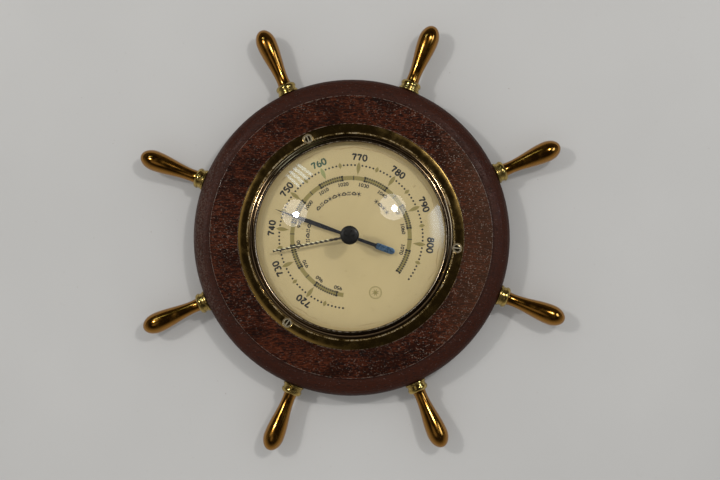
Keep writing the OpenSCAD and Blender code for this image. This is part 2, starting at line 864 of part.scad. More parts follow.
module lever_link() {
    link_w = 1.2;
    pin_end = arm_y + arm_t + 0.3;
    color(steel) hung() {
        flat_bar(link_x, link_top_z, link_low_x, link_low_z, link_w - eye_step, link_y, link_y + link_t);
        for (p = [[link_x, link_top_z], [link_low_x, link_low_z]]) {
            cross_pin(p[0], p[1], link_w / 2, link_y, link_y + link_t);
            cross_pin(p[0], p[1], link_pin_r, link_y, pin_end);
        }
    }
}

// An arm is this much narrower than the round eye at its end
eye_step = 0.3;
rocker_pivot_r = 0.45;
chain_arm_w = 1;
ear_t = 1.2;

module rocker_shaft() {
    chain_arm_low = -drum_line_r - 0.45;
    chain_arm_high = -drum_line_r + 0.35;
    slot_r = link_pin_r + link_slack;
    eye_r = slot_r + 0.25;
    color(steel) hung() difference() {
        union() {
            cross_pin(rocker_at, rocker_z, rocker_r, -rocker_half + rest_gap, rocker_half - rest_gap);
            cross_pin(rocker_at, rocker_z, rocker_pivot_r, -rocker_half - ear_t, rocker_half + ear_t);
            flat_bar(rocker_at, rocker_z, link_low_x, link_low_z, 2 * eye_r - eye_step, arm_y, arm_y + arm_t);
            cross_pin(link_low_x, link_low_z, eye_r, arm_y, arm_y + arm_t);
            flat_bar(rocker_at, rocker_z, chain_end_x, chain_z, chain_arm_w - eye_step,
                chain_arm_low, chain_arm_high);
            cross_pin(chain_end_x, chain_z, chain_arm_w / 2, chain_arm_low, chain_arm_high);
        }
        cross_pin(link_low_x, link_low_z, slot_r, arm_y - cut, arm_y + arm_t + cut);
    }
}

module rocker_frame() {
    strip_w = 6;
    ear_len = 4;
    color(sheet_brass) hung() difference() {
        union() {
            translate([rocker_at - strip_w / 2, -rocker_half - ear_t, base_z])
                cube([strip_w, 2 * (rocker_half + ear_t), frame_strip_t]);
            for (low = [-rocker_half - ear_t, rocker_half]) {
                translate([rocker_at - ear_len / 2, low, base_z])
                    cube([ear_len, ear_t, rocker_h]);
                cross_pin(rocker_at, rocker_z, ear_len / 2, low, low + ear_t);
            }
        }
        cross_pin(rocker_at, rocker_z, rocker_pivot_r + run,
            -rocker_half - ear_t - cut, rocker_half + ear_t + cut);
        at_frame_screws() rod(frame_screw_r + run, base_z - cut, base_z + frame_strip_t + cut);
    }
}

frame_screw_r = 0.8;
frame_strip_t = 1;

module at_frame_screws() {
    for (side = [-1, 1]) translate([rocker_at, side * (rocker_half - 3), 0]) children();
}

module frame_screws() {
    color(steel) hung() at_frame_screws() translate([0, 0, base_z + frame_strip_t + small_head_t])
        mirror([0, 0, 1])
            slotted_screw(small_head_r, small_head_t, frame_screw_r, frame_strip_t + base_t - run);
}

// Chain and hairspring

module chain() {
    chain_w = 0.5;
    line_y = -drum_line_r;
    wrap_r = drum_r + run / 2;
    color(steel) hung() {
        translate([0, line_y - chain_t / 2, chain_z - chain_w / 2])
            cube([chain_end_x - chain_arm_w / 2 - run / 2, chain_t, chain_w]);
        intersection() {
            tube(wrap_r + chain_t, wrap_r, chain_z - chain_w / 2, chain_z + chain_w / 2);
            translate([-2 * wrap_r - cut, -2 * wrap_r, chain_z - chain_w])
                cube([2 * wrap_r + cut, 4 * wrap_r, 2 * chain_w]);
        }
    }
}

hair_turns = 4;
hair_pitch = 0.75;
hair_start_r = arbor_r + 0.4;
hair_t = 0.12;
hair_h = 0.4;
hair_z = upper_plate_z - 1;
stud_pin_r = 0.5;
stud_at = hair_start_r + hair_turns * hair_pitch + stud_pin_r + hair_t / 2 + run / 2;

module hairspring() {
    steps = 20 * hair_turns;
    function spiral(side) = [for (i = [0:steps]) let (
        a = 90 - 360 * hair_turns * (1 - i / steps),
        r = hair_start_r + hair_pitch * hair_turns * i / steps + side * hair_t / 2
    ) [r * cos(a), r * sin(a)]];
    inner = spiral(-1);
    color(steel) hung() translate([0, 0, hair_z]) linear_extrude(height = hair_h)
        polygon(concat(spiral(1), [for (i = [steps:-1:0]) inner[i]]));
}

module hairspring_stud() {
    color(sheet_brass) hung() translate([0, stud_at, 0]) rod(stud_pin_r, hair_z, cage_top);
}

// Adjusting screw and hanger

module adjusting_screw() {
    head_t = 1;
    head_r = adjust_hole_r - 0.9;
    slot_w = 0.8;
    color(pale_brass) hung() translate([-bridge_at, 0, floor_z - run - head_t])
        slotted_screw(head_r, head_t, adjust_r, base_t + adjust_len - rest_gap, slot_w, head_t / 2);
}

module hanger_plate() {
    slot_r = hang_hole_r * 0.5;
    slot_rise = hang_hole_r;
    color(sheet_brass) hung() difference() {
        hanger_block(hang_len, hang_w, 0, hang_t);
        translate([0, hang_at, 0]) rod(hang_hole_r, -cut, hang_t + cut);
        translate([0, hang_at + slot_rise, 0]) rod(slot_r, -cut, hang_t + cut);
        translate([-slot_r, hang_at, -cut]) cube([2 * slot_r, slot_rise, hang_t + 2 * cut]);
        for (side = [-1, 1]) translate([side * hang_screw_at, hang_at, 0])
            hang_screw_hole();
    }
}

hang_head_r = 2;

module hang_screw_hole() {
    rod(wood_screw_r + run, -cut, hang_t + cut);
    translate([0, 0, -run]) cylinder(r1 = hang_head_r + run, r2 = wood_screw_r + run, h = hang_t * 0.8);
}

module hanger_screws() {
    slot_w = 0.5;
    slot_d = 0.4;
    color(pale_brass) hung() for (side = [-1, 1]) translate([side * hang_screw_at, hang_at, 0]) difference() {
        union() {
            cylinder(r1 = hang_head_r - run, r2 = wood_screw_r, h = hang_t * 0.8);
            rod(wood_screw_r, hang_t * 0.5, hang_screw_len);
        }
        translate([-hang_head_r, -slot_w / 2, -cut]) cube([2 * hang_head_r, slot_w, slot_d + cut]);
    }
}

wheel_ring();
face_veneer();
bezel();
bezel_screws();
glass_dome();
glass_ring();
glass_bush();
bush_nut();
knob();
knob_spindle();
spring_washer();
set_hand();
pressure_hand();
hand_collet();
pointer_arbor();
dial_plate();
dial_pillars();
case_pot();
base_plate();
movement_screws();
capsule_foot();
capsule_back();
capsule_front();
capsule_post();
spring_bridge();
main_spring();
clamp_plate();
clamp_screws();
main_lever();
lever_link();
rocker_shaft();
rocker_frame();
frame_screws();
cage_pillars();
lower_bearing_plate();
upper_bearing_plate();
cage_screws();
chain();
hairspring();
hairspring_stud();
adjusting_screw();
hanger_plate();
hanger_screws();
for (n = [1:handle_count]) handle(n);
for (n = [1:handle_count]) ferrule(n);
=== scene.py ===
"""Ship's-wheel barometer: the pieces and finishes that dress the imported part, and its stage.

Own axes of the dial, in millimetres: x to the right, y up, z out of the dial, with z = 0 on the wall.
The frame's axes, in metres: X to the right, -Y out of the dial, Z up, with the origin in the hanging hole.
"""

import math
from functools import reduce

import bpy
import numpy as np
from bpy.props import FloatProperty, FloatVectorProperty, IntProperty, PointerProperty
from bpy.types import Operator, Panel, PropertyGroup
from mathutils import Matrix, Vector


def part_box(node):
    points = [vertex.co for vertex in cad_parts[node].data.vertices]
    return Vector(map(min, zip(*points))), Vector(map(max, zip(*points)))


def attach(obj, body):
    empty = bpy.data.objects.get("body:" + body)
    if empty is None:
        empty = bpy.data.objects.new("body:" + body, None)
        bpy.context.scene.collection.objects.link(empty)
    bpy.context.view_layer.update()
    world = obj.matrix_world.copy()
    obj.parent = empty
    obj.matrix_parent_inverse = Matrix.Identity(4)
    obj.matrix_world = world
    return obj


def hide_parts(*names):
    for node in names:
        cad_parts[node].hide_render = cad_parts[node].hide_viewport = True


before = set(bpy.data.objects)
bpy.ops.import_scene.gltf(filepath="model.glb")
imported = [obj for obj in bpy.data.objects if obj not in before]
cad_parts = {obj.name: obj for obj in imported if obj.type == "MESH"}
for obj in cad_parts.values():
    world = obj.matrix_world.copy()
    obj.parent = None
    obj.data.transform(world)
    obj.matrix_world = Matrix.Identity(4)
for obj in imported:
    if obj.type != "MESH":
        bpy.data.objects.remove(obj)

bl_info = {
    "name": "Ship's Wheel Barometer",
    "version": (1, 0, 0),
    "blender": (4, 5, 0),
    "location": "View3D > Sidebar > Barometer",
    "description": "Dresses a wall barometer in the form of a ship's wheel",
    "category": "Object",
}

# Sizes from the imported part, in mm

MM = 0.001
HANG = 66.0  # height of the hanging hole above the dial's centre
CENTRE = Vector((0, 0, -HANG * MM))


def node_size(name):
    """A node's foot and top, as distances from the wall, and half its width across the dial, in mm."""
    lo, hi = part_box(name)
    return -hi.y / MM, -lo.y / MM, (hi.x - lo.x) / 2 / MM


FACE_FOOT, FACE_Z, FACE_R = node_size("face_veneer")
_, DIAL_Z, DIAL_R = node_size("dial_plate")
_, LIP_Z, BEZEL_R = node_size("bezel")
_, GLASS_TOP, GLASS_R = node_size("glass_dome")
WHEEL_R = node_size("wheel_ring")[2]
VENEER_BORE = 51.15  # radius
HANDLES = 8
HANDLE_Z = 11.0  # the handles' axes above the wall
HANDLE_LEN = 30.5
FERRULE_LEN = 5.0
OPENING_R = 47.5
DOME_R = 120.0
GLASS_T = 1.6
GLASS_HOLE_R = 2.6
DOME_Z = GLASS_TOP - math.sqrt(DOME_R**2 - GLASS_HOLE_R**2)


def around(radius, degrees):
    """Point (x, y, 0) at a radius and angle round the dial's axis."""
    a = math.radians(degrees)
    return radius * math.cos(a), radius * math.sin(a), 0.0


BEZEL_SCREWS = [around(53.4, a) for a in (90, 210, 330)]
# Heads in the case's back: the three movement screws and the adjusting screw, each with its radius
BACK_HEADS = [(around(28.0, a), 2.4) for a in (35, 155, 275)] + [((-23.5, 0.0, 0.0), 3.4)]
HAND_ANGLE = 136.5
SET_ANGLE = 167.1
TAIL_LEN = 23.2
PADDLE_LEN = 0.575 * TAIL_LEN  # from the dial's axis to the paddle's root
SET_HAND_FOOT = 24.5
INK_GAP, INK_T = 0.002, 0.03  # printing colour: its gap to what is under it, and its thickness
INK_LOW = DIAL_Z + INK_GAP
INK_HIGH = INK_LOW + INK_T
# Radii of the dial's printing
DOT_RING = 35.85
NUMERAL_RING = 39.85
MILLIBAR_BAND = (28.3, 30.4)
MILLIBAR_NUMBERS = 26.35
WEATHER_RING = 21.6
ROSE_RING = 30.5
# Lozenges of the outer scale: radii of the outer tip, the widest place and the inner tip, and the width
LONG_MARK = (37.5, 34.8, 30.9, 1.95)
SHORT_MARK = (37.3, 35.7, 34.2, 1.7)
# Bars of the inner scale: each with its width and its inner and outer radius
TEN_BARS = [(0.6, 28.0, 30.7), (1.2, 28.0, 28.8), (1.2, 29.9, 30.7)]
DOT_BARS = [(0.62, 28.0, 29.0), (0.62, 29.7, 30.7)]
FIVE_BARS = [(0.4, 28.2, 30.5)]
# Readings, in millimetres of mercury and in millibars
MM_TOP, MM_FIRST, MM_LAST = 760, 710, 810
MBAR_FIRST, MBAR_LAST, MBAR_EARLY = 950, 1080, 947

# Photograph and stage. The photograph has half a millimetre to a pixel on the wheel's face.
ROLL = 23.74  # degrees that the barometer is turned in it, counter-clockwise
PHOTO_WIDTH = 720
LENS, SENSOR = 70.0, 36.0  # mm
VIEW_DISTANCE = 0.7  # metres from the middle of the wheel's face
VIEW_RIGHT, VIEW_BELOW = 1.95, 2.2  # degrees that the camera stands off the dial's axis
AIM_RIGHT, AIM_DOWN = 9.25, 3.5  # pixels that it looks past the middle of the face
WALL_GAP = 0.0004  # metres from the barometer's back to the wall that is seen


def to_frame(points, hang=HANG):
    """Own axes in mm to the frame's axes in metres: (x, y, z) goes to (x, -z, y - hang)."""
    p = np.asarray(points, float)
    return np.stack([p[..., 0], -p[..., 2], p[..., 1] - hang], -1) * MM


# Settings a user would change


def measure(label, about, millimetres):
    """Setting for a length."""
    return FloatProperty(name=label, description=about, default=millimetres * MM, min=0.0,
                         unit="LENGTH", precision=5)


def paint(label, about, red, green, blue):
    """Setting for a base colour."""
    return FloatVectorProperty(name=label, description=about, default=(red, green, blue), min=0, max=1,
                               subtype="COLOR")


class BarometerSizes(PropertyGroup):
    """Sizes of the turned and drawn pieces."""

    handle_neck: measure("Handle neck", "Radius of a handle where it leaves its ferrule", 3.1)
    handle_belly: measure("Handle belly", "Widest radius of a handle", 5.2)
    ferrule_radius: measure("Ferrule radius", "Radius of a ferrule's foot", 5.3)
    knob_ribs: IntProperty(
        name="Knob ribs", description="Number of ribs round the knob's edge", default=64, min=12, max=120)
    knob_rib_depth: measure("Knob rib depth", "How deep the knob's ribs are cut", 0.11)
    set_hand_radius: measure("Set hand radius", "Half the width of the twisted set hand", 0.7)
    set_hand_pitch: measure("Set hand pitch", "Length of one whole turn of the set hand's twist", 4.88)
    numeral_height: measure("Numeral height", "Height of the outer scale's numerals", 3.35)


class BarometerColours(PropertyGroup):
    """Base colours of the finishes."""

    rim_wood: paint("Rim wood", "Stained wood of the turned rim", 0.036, 0.010, 0.005)
    face_wood: paint("Face veneer", "Red-brown ground of the veneer", 0.038, 0.0093, 0.0037)
    handle_brass: paint("Handle brass", "Orange-gold lacquered brass", 0.37, 0.175, 0.026)
    ferrule_brass: paint("Ferrule brass", "Paler brass of the ferrules", 0.56, 0.41, 0.13)
    bezel_brass: paint("Bezel brass", "Brass of the bezel, browned with age", 0.42, 0.28, 0.085)
    dial_cream: paint("Dial", "Printed cream ground of the dial", 0.605, 0.475, 0.230)
    print_gold: paint("Gold print", "Olive-gold printing colour", 0.285, 0.225, 0.058)
    print_black: paint("Black print", "Black printing colour", 0.005, 0.0048, 0.0045)
    paper: paint("Wall", "Pale ground behind the barometer", 0.552, 0.555, 0.553)


def sizes():
    return bpy.context.scene.barometer_sizes


def colours():
    return bpy.context.scene.barometer_colours


# Surfaces from arrays


def new_object(name, meshes, material, crease=40, hang=HANG):
    """One object from one or more mesh parts: (points, faces, corner UVs), the points in own axes in mm.

    hang: how far below the object's origin the dial's centre lies.
    """
    points, sides, corners, coords, start = [], [], [], [], 0
    for part_points, part_faces, part_uv in meshes:
        points.append(part_points)
        for block, uv in zip(part_faces, part_uv):
            sides.append(np.full(len(block), block.shape[1]))
            corners.append((block + start).ravel())
            coords.append(uv.reshape(-1, 2))
        start += len(part_points)
    points, sides = to_frame(np.concatenate(points), hang), np.concatenate(sides)
    corners, coords = np.concatenate(corners), np.concatenate(coords)
    mesh = bpy.data.meshes.new(name)
    mesh.vertices.add(len(points))
    mesh.vertices.foreach_set("co", points.astype(np.float32).ravel())
    mesh.loops.add(len(corners))
    mesh.loops.foreach_set("vertex_index", corners.astype(np.int32))
    mesh.polygons.add(len(sides))
    mesh.polygons.foreach_set("loop_start", (np.cumsum(sides) - sides).astype(np.int32))
    mesh.polygons.foreach_set("loop_total", sides.astype(np.int32))
    mesh.uv_layers.new(name="UVMap").data.foreach_set("uv", coords.astype(np.float32).ravel())
    mesh.polygons.foreach_set("use_smooth", np.ones(len(sides), bool))
    mesh.update(calc_edges=True)
    if mesh.validate():
        raise RuntimeError(f"{name}: the mesh had faults")
    mesh.set_sharp_from_angle(angle=math.radians(crease))
    mesh.materials.append(material)
    made = bpy.data.objects.new(name, mesh)
    bpy.context.scene.collection.objects.link(made)
    return made


def make_piece(name, meshes, finish, body="case", replaces=(), crease=40):
    """A piece that rides on a body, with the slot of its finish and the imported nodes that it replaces."""
    piece = new_object(name, meshes, finish, crease)
    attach(piece, body)
    if replaces:
        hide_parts(*replaces)


def net(grid, loop=False):
    """Mesh part of a grid of points (rows, steps, 3). Rows run along the profile and steps round it.

    The last step joins the first, and loop joins the last row to the first. A first or last row whose
    points coincide becomes a pole. UV: u is the mean length along the profile, v the turn from 0 to 1.
    """
    rows, steps = grid.shape[:2]
    flat = grid.reshape(-1, 3)
    index = np.arange(rows * steps).reshape(rows, steps)
    if not loop:
        for end in (0, -1):
            if np.ptp(grid[end], axis=0).max() < 1e-7:
                index[end] = index[end, 0]
    i = np.arange(rows if loop else rows - 1)[:, None]
    j = np.arange(steps)[None, :]
    i2, j2 = (i + 1) % rows, (j + 1) % steps
    quads = np.stack([index[i, j], index[i, j2], index[i2, j2], index[i2, j]], -1).reshape(-1, 4)
    step_len = np.linalg.norm(np.diff(np.concatenate([grid, grid[:1]]), axis=0), axis=2).mean(1)
    along = np.concatenate([[0], np.cumsum(step_len)]) * MM
    u1, u2 = np.broadcast_arrays(along[i], along[i + 1])
    v1, v2 = j / steps, (j + 1) / steps
    u1, v1, v2 = np.broadcast_arrays(u1, v1, v2)
    uv = np.stack([np.stack([u1, v1], -1), np.stack([u1, v2], -1),
                   np.stack([u2 + 0 * v1, v2], -1), np.stack([u2 + 0 * v1, v1], -1)], 2).reshape(-1, 4, 2)
    low = quads[:, 0] == quads[:, 1]
    high = quads[:, 2] == quads[:, 3]
    full = ~(low | high)
    blocks = [(quads[full], uv[full])]
    if low.any():
        blocks.append((quads[low][:, [0, 2, 3]], uv[low][:, [0, 2, 3]]))
    if high.any():
        blocks.append((quads[high][:, [0, 1, 2]], uv[high][:, [0, 1, 2]]))
    used = np.unique(np.concatenate([b.ravel() for b, _ in blocks]))
    renumber = np.zeros(len(flat), int)
    renumber[used] = np.arange(len(used))
    return flat[used], [renumber[b] for b, _ in blocks], [w for _, w in blocks]


def full_turn(steps):
    """Angles of a whole turn in even steps, in radians."""
    return np.linspace(0, 2 * math.pi, steps, endpoint=False)


def turned(profile, steps):
    """Grid of a turned piece: a profile's (r, z) goes round the z axis as (r cos t, r sin t, z)."""
    p = np.asarray(profile, float)
    t = full_turn(steps)
    return np.stack([p[:, :1] * np.cos(t), p[:, :1] * np.sin(t), p[:, 1:] + 0 * t], -1)


def arc(x, y, rx, ry, start, end, count=11):
    """Points of an ellipse's arc: (x + rx cos a, y + ry sin a), with a from start to end in degrees."""
    a = np.radians(np.linspace(start, end, count))
    return np.stack([x + rx * np.cos(a), y + ry * np.sin(a)], -1)


def swing(part, degrees):
    """A mesh part, turned about the dial's axis where it is."""
    a = math.radians(degrees)
    cos, sin = math.cos(a), math.sin(a)
    part[0][:] = part[0] @ np.array([[cos, sin, 0], [-sin, cos, 0], [0, 0, 1]])
    return part


def capped(grid):
    """A grid whose first and last row are closed, each by a pole at the row's middle."""
    first, last = grid[:1].mean(1, keepdims=True), grid[-1:].mean(1, keepdims=True)
    return np.concatenate([first + 0 * grid[:1], grid, last + 0 * grid[-1:]])


def stack(*pieces):
    """Points and lists of points, joined into one list."""
    return np.concatenate([np.atleast_2d(np.asarray(p, float)) for p in pieces])


def slab(outline, low=INK_LOW, high=INK_HIGH):
    """Mesh part of a thin flat piece: an outline of (x, y) points, turning left, between two heights."""
    n = len(outline)
    centre = outline.mean(0)
    rings = [np.c_[outline, np.full(n, z)] for z in (low, high)]
    points = np.concatenate([*rings, [[*centre, low], [*centre, high]]])
    i = np.arange(n)
    k = (i + 1) % n
    walls = np.stack([i, k, k + n, i + n], -1)
    top = np.stack([i + n, k + n, np.full(n, 2 * n + 1)], -1)
    foot = np.stack([k, i, np.full(n, 2 * n)], -1)
    fans = np.concatenate([top, foot])
    return points, [walls, fans], [points[walls][..., :2] * MM, points[fans][..., :2] * MM]


def ribbon(path, width):
    """Mesh part of a printed stroke: a band of this width along a path of (x, y) points, with round ends.

    At each point the band reaches half its width to either side along the path's normal. Near an end, at
    distance d, it reaches sqrt(h*h - (h - d)^2), with h half the width, which rounds the end off.
    """
    path = np.asarray(path, float)
    seg = np.linalg.norm(np.diff(path, axis=0), axis=1)
    s = np.concatenate([[0], np.cumsum(seg)])
    total, h = s[-1], width / 2
    ends = h * (1 - np.cos(np.linspace(0, math.pi / 2, 4)))
    where = np.unique(np.concatenate([ends, s[(s > h) & (s < total - h)], total - ends]).round(6))
    line = np.stack([np.interp(where, s, path[:, k]) for k in (0, 1)], -1)
    slope = np.gradient(line, where, axis=0)
    slope /= np.linalg.norm(slope, axis=1)[:, None]
    normal = np.stack([-slope[:, 1], slope[:, 0]], -1)
    d = np.minimum(np.minimum(where, total - where), h)
    reach = np.sqrt(np.maximum(h * h - (h - d) ** 2, (0.08 * h) ** 2))[:, None]
    left, right = line + normal * reach, line - normal * reach
    n = len(line)
    points = np.concatenate([np.c_[a, np.full(n, z)] for a, z in
                             ((left, INK_HIGH), (right, INK_HIGH), (right, INK_LOW), (left, INK_LOW))])
    i = np.arange(n - 1)[:, None]
    sides = np.array([[0, 1], [1, 2], [2, 3], [3, 0]]) * n
    quads = np.stack([i + sides[:, 1], i + sides[:, 1] + 1, i + sides[:, 0] + 1, i + sides[:, 0]], -1)
    caps = np.array([[0, 1, 2, 3], [3, 2, 1, 0]]) * n + np.array([[0], [n - 1]])
    quads = np.concatenate([quads.reshape(-1, 4), caps])
    return points, [quads], [points[quads][..., :2] * MM]


# Finishes


class Finish:
    """A material while it is made: short calls for its nodes, and its Principled shader."""

    def __init__(self, name, **sockets):
        self.material = bpy.data.materials.new(name)
        self.material.use_nodes = True
        self.nodes = self.material.node_tree.nodes
        self.links = self.material.node_tree.links
        self.shader = next(n for n in self.nodes if n.type == "BSDF_PRINCIPLED")
        self.output = next(n for n in self.nodes if n.type == "OUTPUT_MATERIAL")
        for key, value in sockets.items():
            self.shader.inputs[key.replace("_", " ")].default_value = value

    def set(self, key, value):
        self.put(self.shader.inputs[key], value)

    def put(self, socket, value):
        if isinstance(value, bpy.types.NodeSocket):
            self.links.new(value, socket)
        elif hasattr(value, "__len__") and len(value) == 3 and socket.type == "RGBA":
            socket.default_value = (*value, 1)
        else:
            socket.default_value = value

    def node(self, kind, inputs=None, **settings):
        made = self.nodes.new(kind)
        for key, value in settings.items():
            setattr(made, key, value)
        for key, value in (inputs or {}).items():
            self.put(made.inputs[key], value)
        return made

    def coords(self, uv=False, centre=(0, 0, 0), turned_by=(0, 0, 0), scale=(1, 1, 1)):
        """Object coordinates, or the piece's own UVs, centred, turned and then stretched."""
        vector = self.node("ShaderNodeTexCoord").outputs["UV" if uv else "Object"]
        for key, value in (("Location", [-c for c in centre]), ("Rotation", turned_by), ("Scale", scale)):
            vector = self.node("ShaderNodeMapping", {"Vector": vector, key: value}).outputs[0]
        return vector

    def noise(self, vector, scale, detail=3.0, rough=0.55, distortion=0.0):
        return self.node("ShaderNodeTexNoise", {
            "Vector": vector, "Scale": scale, "Detail": detail,
            "Roughness": rough, "Distortion": distortion}).outputs[0]

    def ramp(self, value, start, end, low=0.0, high=1.0):
        """Carries start..end over to the greys low..high in a straight line."""
        made = self.node("ShaderNodeValToRGB", {"Fac": value})
        for element, at, grey in zip(made.color_ramp.elements, (start, end), (low, high)):
            element.position = at
            element.color = (grey, grey, grey, 1)
        return made.outputs[0]

    def blots(self, scale, start, end, low=0.0, high=1.0, detail=2, rough=0.55):
        """Patches of noise, cut by a ramp."""
        return self.ramp(self.noise(self.coords(), scale, detail, rough), start, end, low, high)

    def mix(self, share, first, second):
        made = self.node("ShaderNodeMix", data_type="RGBA")
        for socket, value in zip((made.inputs[0], made.inputs[6], made.inputs[7]), (share, first, second)):
            self.put(socket, value)
        return made.outputs[2]

    def math(self, operation, *values):
        made = self.node("ShaderNodeMath", operation=operation)
        for socket, value in zip(made.inputs, values):
            self.put(socket, value)
        return made.outputs[0]

    def spread(self, value, low, high, to_low=0.0, to_high=1.0):
        """Carries low..high over to to_low..to_high, with soft ends."""
        made = self.node("ShaderNodeMapRange", {
            "Value": value, "From Min": low, "From Max": high, "To Min": to_low, "To Max": to_high},
            interpolation_type="SMOOTHSTEP")
        return made.outputs[0]

    def near(self, value, middle, half):
        """1 where the value is the middle one, falling softly to 0 at half to either side."""
        return self.spread(self.math("ABSOLUTE", self.less(value, middle)), 0.0, half, 1.0, 0.0)

    def fold(self, operation, *values):
        return reduce(lambda a, b: self.math(operation, a, b), values)

    def both(self, *values):
        """Product of the values."""
        return self.fold("MULTIPLY", *values)

    def most(self, *values):
        """Greatest of the values."""
        return self.fold("MAXIMUM", *values)

    def plus(self, *values):
        """Sum of the values."""
        return self.fold("ADD", *values)

    def less(self, *values):
        """The first value less the others."""
        return self.fold("SUBTRACT", *values)

    def axis(self, vector, k):
        """One of a vector's three parts."""
        return self.node("ShaderNodeSeparateXYZ", {0: vector}).outputs[k]

    def gap(self, x, y, z):
        """Distance across the dial from a point in own axes, in metres."""
        spot = self.coords(centre=to_frame((x, y, z)), scale=(1, 0, 1))
        return self.node("ShaderNodeVectorMath", {0: spot}, operation="LENGTH").outputs["Value"]

    def radius(self):
        """Distance from the dial's axis, in metres."""
        return self.gap(0, 0, 0)

    def rings(self, scale, detail=2, rough=0.55):
        """Noise in rings round the dial's axis."""
        rings = self.node("ShaderNodeCombineXYZ", {0: self.both(self.radius(), scale)}).outputs[0]
        return self.noise(rings, 1.0, detail, rough)

    def see_through(self, share, tint=(1, 1, 1)):
        """Lets light straight through by a share from 0 to 1."""
        clear = self.node("ShaderNodeBsdfTransparent", {"Color": tint})
        both = self.node("ShaderNodeMixShader", {0: share, 1: self.shader.outputs[0], 2: clear.outputs[0]})
        self.put(self.output.inputs[0], both.outputs[0])

    def bump(self, height, strength, distance):
        return self.node("ShaderNodeBump", {
            "Height": height, "Strength": strength, "Distance": distance}).outputs[0]


def along_grain(f, across, along):
    """Coordinates stretched along the wood's grain, which runs level in the photograph."""
    return f.coords(centre=CENTRE, turned_by=(0, -math.radians(ROLL), 0), scale=(along, across, across))


def grained(f, across, along, *settings):
    """Noise drawn out along the wood's grain."""
    return f.noise(along_grain(f, across, along), 1.0, *settings)


def rim_wood_finish():
    """Stained, waxed rim: dark brown, with faint streaks and fine pores, rawer on the back; its pale specks
    are painted glints, and pale flecks on its side to the camera's left are painted sheen.
    """
    f = Finish("rim_wood", Roughness=0.4, Specular_IOR_Level=0.12)
    c = colours().rim_wood
    streak = grained(f, 900, 60, 4, 0.6)
    patch = grained(f, 60, 22, 3, 0.5)
    pore = f.ramp(grained(f, 2300, 420, 2, 0.7), 0.38, 0.47, 1.0, 0.0)
    ground = f.mix(f.ramp(patch, 0.3, 0.75), [v * 0.8 for v in c], [v * 1.2 for v in c])
    ground = f.mix(f.ramp(streak, 0.35, 0.7, 0.0, 0.5), ground, (c[0] * 1.5, c[1] * 1.35, c[2] * 1.2))
    ground = f.mix(f.both(pore, 0.6), ground, (0.010, 0.005, 0.004))
    raw = f.spread(f.axis(f.coords(), 1), -0.0012, -0.0003)
    bare = f.mix(f.ramp(streak, 0.3, 0.7), (0.085, 0.038, 0.018), (0.16, 0.078, 0.038))
    bare = f.mix(f.both(pore, 0.7), bare, (0.03, 0.014, 0.008))
    # Painted sheen: pale flecks in fine grains on the outer slope of the side to the camera's left
    painted_sheen = f.both(f.spread(f.axis(along_grain(f, 1, 1), 0), -0.058, -0.074),
                   f.spread(f.radius(), 0.0725, 0.0765),
                   f.blots(1050, 0.46, 0.60, 0.1, 1.0, detail=3, rough=0.7), 0.22)
    # Painted glints: sparse pale specks all over the rim
    painted_sparkle = f.blots(1500, 0.66, 0.72, 0.0, 0.3, rough=0.5)
    ground = f.mix(f.most(painted_sheen, painted_sparkle), ground, (0.24, 0.205, 0.18))
    f.set("Base Color", f.mix(f.both(raw, 0.75), ground, bare))
    rough = f.spread(f.noise(f.coords(), 90, 3), 0.35, 0.7, 0.34, 0.5)
    f.set("Roughness", f.plus(rough, f.both(raw, 0.3)))
    grit = f.noise(f.coords(), 1700, 2, 0.6)
    f.set("Normal", f.bump(f.plus(f.both(grit, 0.8), f.less(streak, pore)), 0.5, 0.0001))
    return f.material


def face_wood_finish():
    """Open-grained veneer: red-brown ground, dark clouds, pale and black strokes, and pale specks that are
    painted glints; lighter towards the camera's right as painted sheen.

    The little bevel at its outer edge and a ring at the bezel's edge are painted pale under a glossy coat:
    partly wear, partly painted highlight.
    """
    f = Finish("face_wood", Roughness=0.36, Specular_IOR_Level=0.06, Coat_Roughness=0.1)
    c = colours().face_wood
    figure = grained(f, 115, 62, 4, 0.62, 0.4)
    light = grained(f, 1500, 380, 2, 0.6, 0.3)
    strokes = grained(f, 1800, 430, 2, 0.6, 0.3)
    fine = grained(f, 1700, 1000, 2, 0.6)
    ground = f.mix(f.ramp(figure, 0.41, 0.57), [v * 0.50 for v in c], [v * 1.10 for v in c])
    pale = f.both(f.ramp(light, 0.49, 0.62), f.ramp(figure, 0.40, 0.5, 0.3, 1.0), 0.9)
    ground = f.mix(pale, ground, [v * 2.4 for v in c])
    pore = f.ramp(strokes, 0.40, 0.48, 1.0, 0.0)
    ground = f.mix(f.both(pore, 0.85), ground, (0.0065, 0.003, 0.0025))
    sideways = f.axis(along_grain(f, 1, 1), 0)
    # Painted sheen: lighter towards the camera's right
    ground = f.mix(f.spread(sideways, 0.035, 0.065, 0.0, 0.35), ground, (0.095, 0.045, 0.024))
    # Painted glints: pale specks, denser towards the camera's right
    patch = f.plus(f.blots(45, 0.40, 0.62, 0.15, 0.6), f.spread(sideways, 0.0, 0.06, 0.0, 0.4))
    grains = grained(f, 1750, 1300, 1, 0.5)
    painted_flecks = f.both(f.ramp(grains, 0.635, 0.70), patch)
    # Pale edge rings: partly wear, partly painted highlight
    outer_edge = f.spread(f.radius(), 0.0706, 0.0708)
    inner_edge = f.near(f.radius(), 0.0567, 0.0004)
    broken = f.ramp(fine, 0.44, 0.56)
    worn = f.both(broken, f.most(f.both(outer_edge, 0.5), f.both(inner_edge, 0.55)))
    f.set("Base Color", f.mix(f.most(f.both(painted_flecks, 0.6), worn), ground, (0.30, 0.235, 0.19)))
    f.set("Roughness", f.spread(strokes, 0.4, 0.6, 0.5, 0.3))
    f.set("Coat Weight", f.both(broken, f.most(outer_edge, inner_edge)))
    f.set("Normal", f.bump(f.plus(f.both(fine, 0.9), f.both(pore, -1.0)), 0.8, 0.00014))
    return f.material


